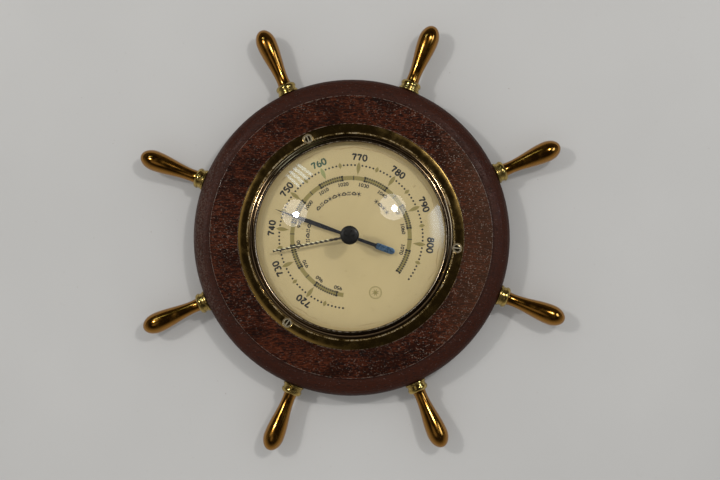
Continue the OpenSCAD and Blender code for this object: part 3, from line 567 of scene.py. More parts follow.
def brass_base(name, colour, rough, tarnish=0.35, tarnish_colour=(0.16, 0.09, 0.03),
               uv=False, radial=False, coat=0.0, patch_scale=210):
    """Metal with tool marks, fine scratches and browned patches.

    uv: marks run round a turned piece, by its own UVs. radial: marks run round the dial's axis.
    """
    f = Finish(name, Metallic=1.0, Roughness=rough, Coat_Weight=coat, Coat_Roughness=0.08)
    patch = f.noise(f.coords(), patch_scale, 4, 0.62)
    spots = f.blots(1500, 0.66, 0.74, rough=0.5)
    dirt = f.both(f.most(f.ramp(patch, 0.42, 0.72), f.both(spots, 0.6)), tarnish)
    if uv:
        marks = f.noise(f.coords(uv=True, scale=(9000, 3, 1)), 1.0, 2, 0.7)
    elif radial:
        marks = f.rings(5200, 2, 0.7)
    else:
        marks = f.noise(f.coords(scale=(2600, 700, 2600)), 1.0, 2, 0.7)
    f.tone = f.mix(dirt, colour, tarnish_colour)
    f.metal = f.spread(dirt, 0.0, 0.6, 1.0, 0.86)
    f.rough = f.plus(f.spread(patch, 0.3, 0.75, rough * 0.75, rough * 1.5), f.both(dirt, 0.15))
    f.set("Base Color", f.tone)
    f.set("Metallic", f.metal)
    f.set("Roughness", f.rough)
    f.set("Normal", f.bump(f.plus(marks, f.both(patch, 0.3)), 0.10, 0.00002))
    return f


def brass_finish(*args, **kwargs):
    return brass_base(*args, **kwargs).material


def caked(f, share, colour, rough=0.6):
    """Lays a dull colour over a metal finish by a share from 0 to 1: dried polish, darker places and
    painted shade.
    """
    bare = f.less(1.0, share)
    f.set("Base Color", f.mix(share, f.tone, colour))
    f.set("Metallic", f.both(f.metal, bare))
    f.set("Roughness", f.plus(f.both(f.rough, bare), f.both(share, rough)))
    return f.material


def bezel_finish():
    """Browned brass, darker in the cove and over the lip as painted shade and reflection, with pale dried
    polish at the cove's foot, on the lip's edge and round the screws, which also paints highlights there.
    """
    f = brass_base("bezel_brass", colours().bezel_brass, 0.10, 0.15, (0.14, 0.07, 0.022),
                   radial=True, coat=0.3)
    patchy = f.blots(130, 0.38, 0.58, detail=4, rough=0.65)
    grain = f.blots(1300, 0.36, 0.58, rough=0.6)
    # Pale at the cove's foot, on the lip's edge and round the screws: dried polish, and painted highlight
    # on the bright lines and rings
    corner = f.both(f.near(f.radius(), 0.0518, 0.0006), patchy, grain)
    lip = f.both(f.near(f.radius(), 0.0476, 0.0004), f.ramp(patchy, 0.0, 1.0, 0.3, 1.0), grain)
    rings = f.most(*[f.near(f.gap(*screw), 0.00215, 0.00055) for screw in BEZEL_SCREWS])
    rings = f.both(rings, f.ramp(grain, 0.0, 1.0, 0.45, 1.0))
    # Painted shade and reflection: darker in the cove and over the lip
    f.tone = f.mix(f.spread(f.radius(), 0.0508, 0.0513, 0.9, 0.0), f.tone, (0.15, 0.105, 0.065))
    return caked(f, f.both(f.most(corner, lip, rings), 0.9), (0.25, 0.23, 0.19))


def front_screw_finish(top):
    """Dark polished heads with dried polish in their slots, which lie below the head's top."""
    f = brass_base("screw_brass_front", (0.31, 0.25, 0.13), 0.10, 0.3, (0.12, 0.08, 0.03))
    slot = f.spread(f.axis(f.coords(), 1), (-top + 0.06) * MM, (-top + 0.16) * MM)
    speckle = f.blots(1500, 0.34, 0.55, 0.55, 1.0, rough=0.6)
    return caked(f, f.both(slot, speckle, 0.95), (0.38, 0.35, 0.27))


def back_screw_finish(name, face):
    """Dull brass heads, darker in their slots and beneath; face is how far they stand from the wall."""
    f = brass_base(name, (0.66, 0.53, 0.26), 0.2, 0.3, (0.12, 0.08, 0.03))
    darkened = f.spread(f.axis(f.coords(), 1), -(face + 0.06) * MM, -(face + 0.14) * MM, 0.0, 0.95)
    return caked(f, darkened, (0.022, 0.015, 0.009))


def case_finish():
    """Spun brass, aged in fine rings round the axis and in clouds, darker towards its rim and round its
    screws.
    """
    f = brass_base("case_brass", (0.60, 0.44, 0.17), 0.30, 0.3, (0.20, 0.12, 0.05),
                   radial=True, patch_scale=700)
    cloud = f.ramp(f.noise(f.coords(), 26, 4, 0.6, 0.3), 0.34, 0.66, 0.25, 1.0)
    aged = f.both(f.ramp(f.rings(1300, 3, 0.75), 0.36, 0.62, 0.25, 1.0), cloud, 0.75)
    f.tone = f.mix(aged, f.tone, (0.24, 0.145, 0.055))
    grain = f.blots(900, 0.36, 0.62, 0.2, 1.0, detail=3, rough=0.65)
    darkened = f.most(f.spread(f.radius(), 0.0470, 0.0496, 0.0, 0.9),
                   *[f.spread(f.gap(*place), (head_r + 1.3) * MM, head_r * MM)
                     for place, head_r in BACK_HEADS])
    return caked(f, f.both(darkened, grain, 0.85), (0.045, 0.030, 0.018))


def twisted_finish():
    """Twisted wire, dark brown as painted shade, save its strands' crests on the side that lies upwards in
    the camera's view, left pale as painted highlights.

    UV v goes round the wire's twisted section: its crests lie at 0 and a half, its grooves between them.
    """
    f = brass_base("set_hand_brass", (1.0, 0.93, 0.60), 0.3, 0.1, (0.5, 0.35, 0.1))
    f.metal = f.both(f.metal, 0.3)  # less metallic, so that the pale base shows as painted highlight
    turned_by = f.both(f.axis(f.coords(uv=True), 1), 2 * math.pi)
    crest = f.spread(f.math("ABSOLUTE", f.math("SINE", turned_by)), 0.45, 0.75, 1.0, 0.0)
    level = f.coords(centre=CENTRE, turned_by=(0, math.radians(SET_ANGLE), 0))
    bright = f.both(crest, f.spread(f.axis(level, 2), 0.00008, -0.00010),
                    f.spread(f.axis(level, 0), 0.009, 0.012))
    # Painted shade: dark brown over all but the upper crests away from the hub, which stay pale as painted
    # highlight
    return caked(f, f.less(1.0, bright), (0.034, 0.020, 0.006), 0.45)


def glass_finish():
    """Clear glass that lets light rays through to the dial, with faint smears near its edge."""
    f = Finish("dial_glass", Roughness=0.0, IOR=1.46, Transmission_Weight=1.0)
    smear = f.noise(f.coords(turned_by=(0, 0.7, 0), scale=(60, 60, 260)), 1.0, 2)
    smear = f.ramp(smear, 0.5, 0.7)
    f.set("Base Color", f.mix(smear, (0.985, 0.99, 0.985), (0.97, 0.972, 0.965)))
    f.set("Roughness", f.both(smear, f.spread(f.radius(), 0.040, 0.048), 0.02))
    path = f.node("ShaderNodeLightPath").outputs
    # Lamp rays and bounced light go straight through, and so does what a piece mirrors outside the glass
    inside = f.math("MODULO", path["Transmission Depth"], 2.0)
    mirrored = f.less(path["Is Glossy Ray"], path["Is Transmission Ray"], inside)
    f.see_through(f.most(path["Is Shadow Ray"], path["Is Diffuse Ray"], mirrored), (0.97, 0.975, 0.965))
    return f.material


def knob_finish():
    """Black moulded knob, slightly dusty, with faint turning marks on its crown."""
    f = Finish("knob_black", Roughness=0.33, Specular_IOR_Level=0.28)
    dust = f.blots(1400, 0.5, 0.8, 0.0, 0.5, detail=3, rough=0.6)
    f.set("Base Color", f.mix(dust, (0.007, 0.0066, 0.006), (0.024, 0.021, 0.019)))
    f.set("Roughness", f.spread(f.noise(f.coords(), 900, 3), 0.3, 0.7, 0.26, 0.5))
    f.set("Normal", f.bump(f.rings(7000), 0.15, 0.00003))
    return f.material


def hand_finish():
    """Blackened steel hand whose paddle is left a bright heat-blue. UV u is the place along the hand."""
    f = Finish("pressure_hand", Metallic=1.0, Roughness=0.3, Specular_IOR_Level=0.22)
    grain = f.noise(f.coords(), 1500, 3, 0.6)
    blue = f.spread(f.axis(f.coords(uv=True), 0), 0.0098, 0.0106, 1.0, 0.0)
    tint = f.mix(f.ramp(grain, 0.35, 0.7), (0.022, 0.085, 0.19), (0.14, 0.27, 0.44))
    f.set("Base Color", f.mix(blue, (0.007, 0.009, 0.016), tint))
    f.set("Metallic", f.spread(blue, 0.0, 1.0, 0.3, 0.85))
    f.set("Roughness", f.spread(grain, 0.3, 0.7, 0.25, 0.42))
    f.set("Normal", f.bump(grain, 0.12, 0.00003))
    return f.material


def dial_finish():
    """Cream dial: faint mottling, small rust-brown stains and a browner edge with a broken water line."""
    f = Finish("dial_cream", Roughness=0.5)
    c = colours().dial_cream
    mottle = f.noise(f.coords(), 60, 4, 0.6)
    tone = f.mix(f.ramp(mottle, 0.3, 0.7),
                 [v * 0.965 for v in c], [min(1, v * 1.03) for v in c])
    tone = f.mix(f.both(f.blots(620, 0.69, 0.76, rough=0.5), 0.4), tone, (0.36, 0.22, 0.08))
    tone = f.mix(f.both(f.blots(150, 0.66, 0.80, detail=3), 0.35), tone, (0.42, 0.28, 0.12))
    worn = f.both(f.noise(f.coords(), 240, 3), 1.6)
    tone = f.mix(f.both(f.spread(f.radius(), 0.0425, 0.0482, 0.0, 0.36), worn), tone, (0.40, 0.27, 0.11))
    wander = f.plus(f.radius(), f.spread(f.noise(f.coords(), 120, 3), 0.3, 0.7, -0.0006, 0.0006))
    line = f.both(f.near(wander, 0.0446, 0.0004), f.blots(60, 0.44, 0.56, detail=3), 0.8)
    f.set("Base Color", f.mix(line, tone, (0.40, 0.26, 0.10)))
    f.set("Roughness", f.spread(mottle, 0.3, 0.7, 0.44, 0.58))
    f.set("Normal", f.bump(f.noise(f.coords(), 2600, 3), 0.05, 0.00003))
    return f.material


def ink_finish(name, colour, rough=0.45, worn=0.25):
    """Printing colour, a little thin in places."""
    f = Finish(name, Roughness=rough)
    thin = f.blots(2600, 0.5, 0.78, 0.0, worn, detail=3, rough=0.6)
    f.set("Base Color", f.mix(thin, colour, [(a + b) / 2 for a, b in zip(colour, colours().dial_cream)]))
    f.set("Roughness", f.spread(f.noise(f.coords(), 1500, 2), 0.3, 0.7, rough - 0.06, rough + 0.08))
    f.set("Normal", f.bump(f.noise(f.coords(), 5000, 2), 0.05, 0.00002))
    return f.material


def finish_nodes(material, names):
    """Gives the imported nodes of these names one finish."""
    for name in names:
        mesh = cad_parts[name].data
        if not mesh.materials:
            mesh.materials.append(material)
        for k in range(len(mesh.materials)):
            mesh.materials[k] = material


# The pieces, one operator for each group


class BAROMETER_OT_stage(Operator):
    """Pale wall, two soft lamps, reflected surroundings and the camera at the photograph's angle"""

    bl_idname = "barometer.stage"
    bl_label = "Stage, lamps and camera"

    def execute(self, context):
        cos, sin, _ = around(1, ROLL)
        right, up, out = Vector((cos, 0, -sin)), Vector((sin, 0, cos)), Vector((0, -1, 0))
        face_centre = CENTRE + out * FACE_Z * MM

        def from_photo(x, y, z):
            """Photograph's axes, right, up and towards the viewer, to the frame's."""
            return right * x + up * y + out * z

        # Camera, as it was found from the photograph
        pixel = SENSOR / PHOTO_WIDTH / LENS
        off_right, off_up = math.tan(math.radians(VIEW_RIGHT)), -math.tan(math.radians(VIEW_BELOW))
        towards = from_photo(off_right, off_up, 1).normalized()
        place = face_centre + towards * VIEW_DISTANCE
        ahead = -towards
        side = (right - ahead * right.dot(ahead)).normalized()
        ahead = (ahead + side * AIM_RIGHT * pixel - side.cross(ahead) * AIM_DOWN * pixel).normalized()
        side = (right - ahead * right.dot(ahead)).normalized()
        data = bpy.data.cameras.new("camera")
        data.lens, data.sensor_width = LENS, SENSOR
        data.clip_start, data.clip_end = 0.05, 20
        camera = bpy.data.objects.new("camera", data)
        context.scene.collection.objects.link(camera)
        camera.matrix_world = matrix_of(np.array([side, side.cross(ahead), -ahead]).T, place)
        context.scene.camera = camera

        # Wall: seen and lit from the front only, so that the back of the barometer can be looked at
        f = Finish("wall_paper", Roughness=0.75)
        c = colours().paper
        tone = f.mix(f.blots(7, 0.3, 0.7, detail=3, rough=0.5),
                     [v * 0.955 for v in c], [v * 1.03 for v in c])
        tone = f.mix(f.both(f.blots(420, 0.72, 0.8), 0.12), tone, (0.3, 0.26, 0.2))
        crumb = f.both(f.blots(900, 0.775, 0.80, detail=1), 0.6)
        f.set("Base Color", f.mix(crumb, tone, (0.16, 0.11, 0.07)))
        f.set("Normal", f.bump(f.noise(f.coords(), 500, 3), 0.08, 0.0002))
        away = f.node("ShaderNodeNewGeometry").outputs["Backfacing"]
        lamp_ray = f.node("ShaderNodeLightPath").outputs["Is Shadow Ray"]
        f.see_through(f.most(away, lamp_ray))
        # A round sheet, open behind the wheel, which covers the opening; so light also reaches its back
        sheet = turned([(r, 0) for r in (2500, 1200, 400, 150, WHEEL_R - 1.5)], 256)
        wall = new_object("wall", [net(sheet)], f.material, hang=0)
        wall.location = (0, WALL_GAP, CENTRE.z)

        # World: one plain pale tone all round
        world = bpy.data.worlds.new("surroundings")
        world.use_nodes = True
        context.scene.world = world
        sky = next(n for n in world.node_tree.nodes if n.type == "BACKGROUND")
        sky.inputs["Color"].default_value = (1.0, 0.985, 0.96, 1)
        sky.inputs["Strength"].default_value = 0.52

        # Lamps, each a wide soft disc round a bright core, at the places that the glass mirrors
        def lamp(name, direction, distance, radius, radiance):
            aim = from_photo(*direction, 1).normalized()
            light = bpy.data.lights.new(name, "AREA")
            light.shape = "DISK"
            light.size = 2 * radius
            light.energy = radiance * math.pi**2 * radius**2
            light.color = (1.0, 0.97, 0.93)
            lit = bpy.data.objects.new(name, light)
            context.scene.collection.objects.link(lit)
            x = up.cross(aim).normalized()
            lit.matrix_world = matrix_of(np.array([x, aim.cross(x), aim]).T, face_centre + aim * distance)
            lit.visible_camera = False
            lit.visible_transmission = False  # the glass lets lamp rays through as plain shadow rays

        # Each has the tangents to the right and upwards of the ways to its disc and to its core
        places = (("left", (-0.636, 0.290), (-0.611, 0.269)), ("right", (0.390, 0.332), (0.412, 0.318)))
        for name, disc, core in places:
            lamp(name + "_lamp_core", core, distance=1.15, radius=0.034, radiance=170.0)
            lamp(name + "_lamp_disc", disc, distance=1.2, radius=0.146, radiance=5.2)

        # Room that the front of the metal and the glass mirror: a bowl on the viewer's side. It's dim
        # brown overhead and paler towards the ground, with three soft glows. A barred window with a green
        # leaf and a white screen stand in it, laid out by the tangents u and v to the right and upwards.
        f = Finish("room_light")
        spot = f.coords(scale=(0.5, 0.5, 0.5))

        def towards_part(direction):
            aim = Vector(direction).normalized()
            dot = f.node("ShaderNodeVectorMath", {0: spot, 1: aim}, operation="DOT_PRODUCT")
            return dot.outputs["Value"]

        def cosine(degrees):
            return math.cos(math.radians(degrees))

        def box(value, low, high, soft):
            return f.both(f.spread(value, low - soft, low + soft),
                          f.spread(value, high - soft, high + soft, 1.0, 0.0))

        ahead_part, up_part, right_part = towards_part(out), towards_part(up), towards_part(right)
        u, v = f.math("DIVIDE", right_part, ahead_part), f.math("DIVIDE", up_part, ahead_part)
        low_side = f.mix(f.spread(up_part, -0.55, 0.5), (0.40, 0.37, 0.33), (0.09, 0.075, 0.055))
        glow = f.mix(f.spread(ahead_part, cosine(88), cosine(46)), low_side, (0.020, 0.017, 0.013))
        for x, y, reach in ((-0.43, 0.115, 10), (0.33, 0.29, 13), (-0.34, -0.30, 16)):
            halo = f.spread(towards_part(from_photo(x, y, 1)), cosine(reach), cosine(reach / 4), 0.0, 0.85)
            glow = f.mix(halo, glow, (0.40, 0.36, 0.28))
        along = f.less(f.both(u, 0.72), f.both(v, 0.69))
        across = f.plus(f.both(u, 0.69), f.both(v, 0.72))
        above = f.spread(v, 0.0, 0.2)
        first_bar, bar_pitch = -0.0125, 0.0645
        wave = f.math("SINE", f.both(f.less(across, first_bar), 2 * math.pi / bar_pitch))
        bars = f.both(f.spread(wave, -0.75, 0.25), box(across, -0.004, 0.233, 0.006),
                      box(along, -1.19, -0.84, 0.02), above)
        glow = f.mix(bars, glow, (4.4, 5.8, 6.6))
        leaf = f.both(box(along, -1.08, -0.70, 0.05), box(across, 0.245, 0.40, 0.05), above)
        glow = f.mix(leaf, glow, (0.75, 0.98, 0.66))
        edge = f.less(v, f.both(u, 0.79))
        screen = f.both(box(u, 0.86, 1.35, 0.07), f.spread(edge, -0.38, -0.345, 1.0, 0.0),
                        f.spread(v, -0.22, 0.22))
        glow = f.mix(screen, glow, (4.2, 5.0, 6.0))
        emit = f.node("ShaderNodeEmission", {"Color": glow, "Strength": 1.0})
        f.put(f.output.inputs[0], emit.outputs[0])
        t, bowl_r = np.radians(np.linspace(89, 0, 48)), 2000
        bowl = turned(np.stack([bowl_r * np.sin(t), bowl_r * np.cos(t)], -1), 96)
        room = new_object("room", [net(bowl)], f.material, hang=0)
        room.location = CENTRE
        # Only glossy rays see the room, so it glows only in reflections
        for kind in ("camera", "diffuse", "transmission", "shadow", "volume_scatter"):
            setattr(room, "visible_" + kind, False)
        return {"FINISHED"}


def matrix_of(rotation, place):
    """4 x 4 matrix of a rotation's columns and a place."""
    m = Matrix([[*map(float, row), 0] for row in rotation] + [[0, 0, 0, 1]])
    m.translation = place
    return m


class BAROMETER_OT_wheel(Operator):
    """Turned rim and the veneer on its face"""

    bl_idname = "barometer.wheel"
    bl_label = "Wheel"

    def execute(self, context):
        finish_nodes(rim_wood_finish(), ["wheel_ring"])
        edge = 0.32
        profile = stack(
            (VENEER_BORE, FACE_FOOT), (FACE_R, FACE_FOOT),
            arc(FACE_R - edge, FACE_Z - edge, edge, edge, 0, 90, 6),
            arc(VENEER_BORE + edge, FACE_Z - edge, edge, edge, 90, 180, 4))
        make_piece("veneer", [net(turned(profile, 360), loop=True)], face_wood_finish(), "case",
                   ["face_veneer"], crease=60)
        return {"FINISHED"}


class BAROMETER_OT_handles(Operator):
    """Eight turned brass handles and their ferrules"""

    bl_idname = "barometer.handles"
    bl_label = "Handles and ferrules"

    def execute(self, context):
        neck, belly = sizes().handle_neck / MM, sizes().handle_belly / MM
        foot = sizes().ferrule_radius / MM
        c = colours()
        gold = brass_finish("handle_brass", c.handle_brass, 0.13, 0.30, (0.22, 0.10, 0.02),
                            uv=True, coat=0.3)
        pale = brass_finish("ferrule_brass", c.ferrule_brass, 0.14, 0.6, (0.075, 0.045, 0.015), uv=True)

        # Handle: from neck to belly the radius swells as a half cosine wave to a power, with a small flare
        # at the root that dies away exponentially, and a quarter ellipse closes the end
        belly_z, power, flare, fades = HANDLE_LEN * 0.75, 1.25, 0.35, 1.2
        z = np.linspace(0, belly_z, 56)
        swell = ((1 - np.cos(math.pi * z / belly_z)) / 2) ** power
        r = neck + (belly - neck) * swell + flare * np.exp(-z / fades)
        end = arc(0, belly_z, belly, HANDLE_LEN - belly_z, 0, 90, 24)[1:]
        end[-1, 0] = 0
        body = stack((0, 0), np.stack([r, z], -1), end)
        stud_r, stud_len = 2.0, 17.0
        stud = [(0, -stud_len), (stud_r, -stud_len), (stud_r, 0.05), (0, 0.05)]

        # Ferrule: a foot disc, a narrow waist and a rounded shoulder up to the handle's neck
        bore = stud_r + 0.05
        ring = stack(
            (bore, 0), (foot - 0.15, 0), (foot, 0.15), arc(foot - 0.2, 0.75, 0.2, 0.2, 0, 90, 4),
            arc(foot - 0.02, 1.43, 0.5, 0.42, -105, -180, 6), (foot - 0.5, 2.75),
            arc(neck + 0.55, 3.2, foot - neck - 0.65, FERRULE_LEN - 3.2, -14, 90, 12), (bore, FERRULE_LEN))

        for n in range(1, HANDLES + 1):
            angle = 90 + (n - 1) * 360 / HANDLES
            root = WHEEL_R + FERRULE_LEN
            parts = [net(self.placed(turned(body, 72), root, angle)),
                     net(self.placed(turned(stud, 24), root, angle))]
            make_piece(f"brass_handle_{n}", parts, gold, "case", [f"handle_{n}"])
            foot_ring = net(self.placed(turned(ring, 72), WHEEL_R, angle), loop=True)
            make_piece(f"brass_ferrule_{n}", [foot_ring], pale, "case", [f"ferrule_{n}"],
                       crease=35)
        return {"FINISHED"}

    @staticmethod
    def placed(grid, root, angle):
        """Lathe axes to the handle's place: z outwards from the rim, x along it and y out of the dial."""
        outwards, sideways = np.array(around(1, angle)), np.array(around(1, angle + 90))
        return (grid[..., :1] * sideways + grid[..., 1:2] * np.array([0, 0, 1.0])
                + (grid[..., 2:] + root) * outwards + np.array([0, 0, HANDLE_Z]))


class BAROMETER_OT_bezel(Operator):
    """Brass bezel with its cove, lip and countersinks, and its screws"""

    bl_idname = "barometer.bezel"
    bl_label = "Bezel and screws"

    def execute(self, context):
        face, top = FACE_Z, LIP_Z
        flange, fall, fall_from, fall_len = 1.2, 0.16, 53.8, 2.5
        cove_foot, lip_round, bead = 51.2, 0.75, 0.11
        rabbet, inside = GLASS_R + 0.15, face + 2.95
        cove_top = top - lip_round - face
        # Profile, from the underside round the flange, up the bead and the hollow cove, over the lip
        # and down the inside. The flange falls off as a parabola, and the cove is a quarter ellipse seen
        # from its hollow side.
        profile = stack(
            (rabbet, face), (BEZEL_R - 0.02, face),
            arc(BEZEL_R - 0.12, face + flange - 0.28, 0.12, 0.12, 0, 75, 6),
            *[(rr, face + flange - fall * max(0.0, (rr - fall_from) / fall_len) ** 2)
              for rr in np.linspace(BEZEL_R - 0.11, cove_foot + 0.42, 48)],
            arc(cove_foot + 0.22, face + flange + 0.14, bead, bead, 0, 180, 9),
            arc(cove_foot, face + cove_top, 2.2, cove_top - flange, -92, -178, 20),
            arc(OPENING_R + lip_round, face + cove_top, lip_round + 0.4, lip_round, 40, 180, 20)[2:],
            (OPENING_R - 0.38, face + cove_top - 0.3), (OPENING_R + 0.05, inside + 0.02), (rabbet, inside))
        grid = turned(profile, 900)
        # Countersinks: near a screw the flange falls as a cone to a flat floor
        sink_r, sink_slope, sink_depth = 2.4, 1.1, 0.9
        rr = np.hypot(grid[..., 0], grid[..., 1])
        on_flange = (rr < BEZEL_R - 0.3) & (rr > cove_foot + 0.41)
        on_flange &= np.abs(grid[..., 2] - face - flange) < 0.29
        for x, y, _ in BEZEL_SCREWS:
            d = np.hypot(grid[..., 0] - x, grid[..., 1] - y)
            grid[..., 2] -= np.where(on_flange, np.clip((sink_r - d) * sink_slope, 0, sink_depth), 0)
        make_piece("brass_bezel", [net(grid, loop=True)], bezel_finish(), "case", ["bezel"],
                   crease=35)
        finish_nodes(front_screw_finish(node_size("bezel_screws")[1]), ["bezel_screws"])
        for name in ("movement_screws", "hanger_screws", "adjusting_screw"):
            finish_nodes(back_screw_finish("brass_of_" + name, node_size(name)[0]), [name])
        return {"FINISHED"}


class BAROMETER_OT_glass(Operator):
    """Domed glass with the hole for the knob's bush, and the fittings in it"""

    bl_idname = "barometer.glass"
    bl_label = "Glass and fittings"

    def execute(self, context):
        # Dome: two spheres about one centre, joined by the rim and by the hole's wall
        inner_r = DOME_R - GLASS_T
        r = np.linspace(GLASS_R, GLASS_HOLE_R + 0.02, 90)
        outer = np.stack([r, DOME_Z + np.sqrt(DOME_R**2 - r**2)], -1)
        inner = np.stack([r, DOME_Z + np.sqrt(inner_r**2 - r**2)], -1)[::-1]
        make_piece("glass", [net(turned(stack(outer, inner), 256), loop=True)], glass_finish(), "case",
                   ["glass_dome"])
        fitting = brass_finish("fitting_brass", (0.70, 0.52, 0.20), 0.2, 0.35)
        finish_nodes(fitting, ["glass_ring", "glass_bush", "bush_nut", "knob_spindle", "hand_collet"])
        return {"FINISHED"}


class BAROMETER_OT_knob(Operator):
    """Black knob with fine ribs round its edge"""

    bl_idname = "barometer.knob"
    bl_label = "Knob"

    def execute(self, context):
        s = sizes()
        low, top, r = node_size("knob")
        bore, bore_depth = 1.3, 3.6
        crown, chamfer = 0.5, 0.4
        profile = stack(
            (bore, low), (r - chamfer, low), (r - 0.08, low + chamfer - 0.05), (r, low + chamfer + 0.1),
            *[(r, z) for z in np.linspace(low + 0.8, top - crown - chamfer - 0.25, 8)],
            (r, top - crown - chamfer), arc(r - 0.35, top - crown - 0.32, 0.35, 0.3, 0, 80, 8),
            arc(0, top - crown, r - 0.42, crown, 4, 90, 24))
        profile[-1, 0] = 0
        grid = turned(profile, s.knob_ribs * 8)
        # Ribs: the side's radius falls by the depth times 1 - |cos(n t / 2)| to the power 0.7, which
        # leaves round ribs between sharp grooves
        t = full_turn(grid.shape[1])
        wave = 1 - np.abs(np.cos(s.knob_ribs * t / 2)) ** 0.7
        on_side = np.clip((profile[:, 0] - (r - 0.25)) / 0.25, 0, 1)[:, None]
        shrink = 1 - on_side * wave[None, :] * (s.knob_rib_depth / MM) / r
        grid[..., :2] *= shrink[..., None]
        core = turned([(0, low + bore_depth), (bore, low + bore_depth), (bore, low)], grid.shape[1])
        whole = np.concatenate([core, grid[1:]])
        make_piece("black_knob", [net(whole)], knob_finish(), "set_hand", ["knob"],
                   crease=50)
        return {"FINISHED"}


class BAROMETER_OT_hands(Operator):
    """Blackened pressure hand with its blue paddle, and the twisted brass set hand"""

    bl_idname = "barometer.hands"
    bl_label = "Hands"

    def execute(self, context):
        self.pressure_hand()
        self.set_hand()
        return {"FINISHED"}

    def pressure_hand(self):
        """A flat band along x: its half width w(x) is set by points along the hand, and its tail is round.

        Across the band the section is a flat plate with rounded long edges: y = w cos b and z = t sin b,
        with the cosine and the sine each raised to a power below 1, which squares the section off.
        """
        low, high, _ = node_size("pressure_hand")
        length, end_r = DIAL_R - 8.6, 1.5
        end = -TAIL_LEN + end_r
        knots = np.array([(end, 1.6), (-PADDLE_LEN - 0.5, 1.6), (-PADDLE_LEN + 0.4, 0.88), (-2.3, 0.78),
                          (2.3, 0.68), (length * 0.42, 1.12), (length * 0.62, 1.02), (length, 0.08)])
        round_end = -TAIL_LEN + end_r * (1 - np.cos(np.linspace(0.02, math.pi / 2, 10)))
        x = np.unique(np.concatenate([round_end, np.linspace(end, length, 110), knots[:, 0]]))
        w = np.interp(x, *knots.T)
        near = x < end
        w[near] = np.sqrt(np.maximum(end_r**2 - (x[near] - end) ** 2, 1e-4))
        b = full_turn(20)
        flat, wide = (np.sign(part) * np.abs(part) ** power
                      for part, power in ((np.sin(b), 0.35), (np.cos(b), 0.6)))
        mid, half = (low + high) / 2, (high - low) / 2
        grid = np.stack([x[:, None] + 0 * b, w[:, None] * wide, mid + half * flat + 0 * x[:, None]], -1)
        hub = [(0, low + 0.01), (2.1, low + 0.01), (2.2, mid), (2.1, high + 0.01), (0, high + 0.01)]
        parts = [swing(net(g), HAND_ANGLE) for g in (capped(grid), turned(hub, 48))]
        make_piece("needle", parts, hand_finish(), "pressure_hand", ["pressure_hand"],
                   crease=50)

    def set_hand(self):
        """Two strands twisted together along x, a little flattened, with the tip bent down to the dial.

        The section is the outline of two circles side by side: its radius at angle b is
        c |cos b| + sqrt(s^2 - c^2 sin^2 b), with s the strand's radius and c half the strands' distance.
        The section turns once in each pitch and thins towards the tip.
        """
        s = sizes()
        low, high = SET_HAND_FOOT, node_size("set_hand")[1]
        mid = (low + high) / 2
        length = DIAL_R - 8.8
        wide, pitch = s.set_hand_radius / MM, s.set_hand_pitch / MM
        x = np.linspace(1.2, length - 0.3, 420)
        b = full_turn(28)
        strand, apart = 0.63 * wide, 0.37 * wide
        reach = apart * np.abs(np.cos(b)) + np.sqrt(strand**2 - (apart * np.sin(b)) ** 2)
        taper = np.interp(x, [0, 25, length], [1, 0.96, 0.86])[:, None]
        phase = (2 * math.pi * x / pitch)[:, None]
        y = reach * taper * np.cos(b + phase)
        z = reach * taper * np.sin(b + phase) * (high - mid) / wide
        bent_len, bent_by = 1.9, 0.4
        bend = -np.clip(x - (length - bent_len), 0, None) ** 2 * bent_by
        rod = np.stack([x[:, None] + 0 * b, y, mid + z + bend[:, None]], -1)
        hub_r, bore = 2.05, 1.27
        rim = arc(hub_r, mid, 0.2, 0.35, -90, 90, 7)
        hub = turned(stack((bore, low), (hub_r, low), rim, (hub_r, high), (bore, high)), 64)
        parts = [swing(net(capped(rod)), SET_ANGLE), swing(net(hub, loop=True), SET_ANGLE)]
        make_piece("marker_hand", parts, twisted_finish(), "set_hand", ["set_hand"],
                   crease=50)


# Strokes of the numerals, in a box 0.62 wide and 1 high: lines of points and arcs
NUMERALS = {
    "0": [arc(0.31, 0.5, 0.25, 0.44, 90, 450, 25)],
    "1": [[(0.12, 0.80), (0.33, 0.94)], [(0.33, 0.96), (0.33, 0.04)], [(0.14, 0.06), (0.52, 0.06)]],
    "2": [arc(0.30, 0.69, 0.22, 0.25, 170, -40), [(0.50, 0.55), (0.10, 0.10)],
          [(0.04, 0.07), (0.58, 0.07)]],
    "3": [arc(0.28, 0.72, 0.20, 0.22, 150, -80, 9), arc(0.28, 0.29, 0.25, 0.24, 85, -150, 13)],
    "4": [[(0.02, 0.30), (0.60, 0.30)], [(0.06, 0.33), (0.42, 0.95)], [(0.42, 0.98), (0.42, 0.02)]],
    "5": [[(0.10, 0.92), (0.56, 0.92)], [(0.14, 0.95), (0.12, 0.52)],
          arc(0.29, 0.31, 0.24, 0.26, 130, -150, 15)],
    "6": [arc(0.46, 0.32, 0.38, 0.60, 105, 180, 9), arc(0.32, 0.30, 0.23, 0.25, 90, 450, 21)],
    "7": [[(0.07, 0.72), (0.07, 0.96)], [(0.02, 0.91), (0.60, 0.91)],
          [(0.55, 0.92), (0.36, 0.50), (0.27, 0.03)]],
    "8": [arc(0.31, 0.72, 0.19, 0.21, 90, 450, 19), arc(0.31, 0.28, 0.24, 0.24, 90, 450, 21)],
    "9": [arc(0.16, 0.68, 0.38, 0.60, 0, -75, 9), arc(0.30, 0.70, 0.23, 0.25, 90, 450, 21)],
}


def numerals(text, height, at_r, angle):
    """Mesh parts of a number with its middle at a radius and angle of the dial and its top outwards."""
    advance, half, widened, stroke = 0.79 * height, 0.35 * height, 1.12, 0.25 * height
    parts = []
    for k, sign in enumerate(text):
        corner = np.array([(k - (len(text) - 1) / 2) * advance - half, -height / 2])
        for line in NUMERALS[sign]:
            part = ribbon(np.asarray(line, float) * height * (widened, 1) + corner, stroke)
            part[0][:, 1] += at_r
            parts.append(at_angle(part, angle))
    return parts


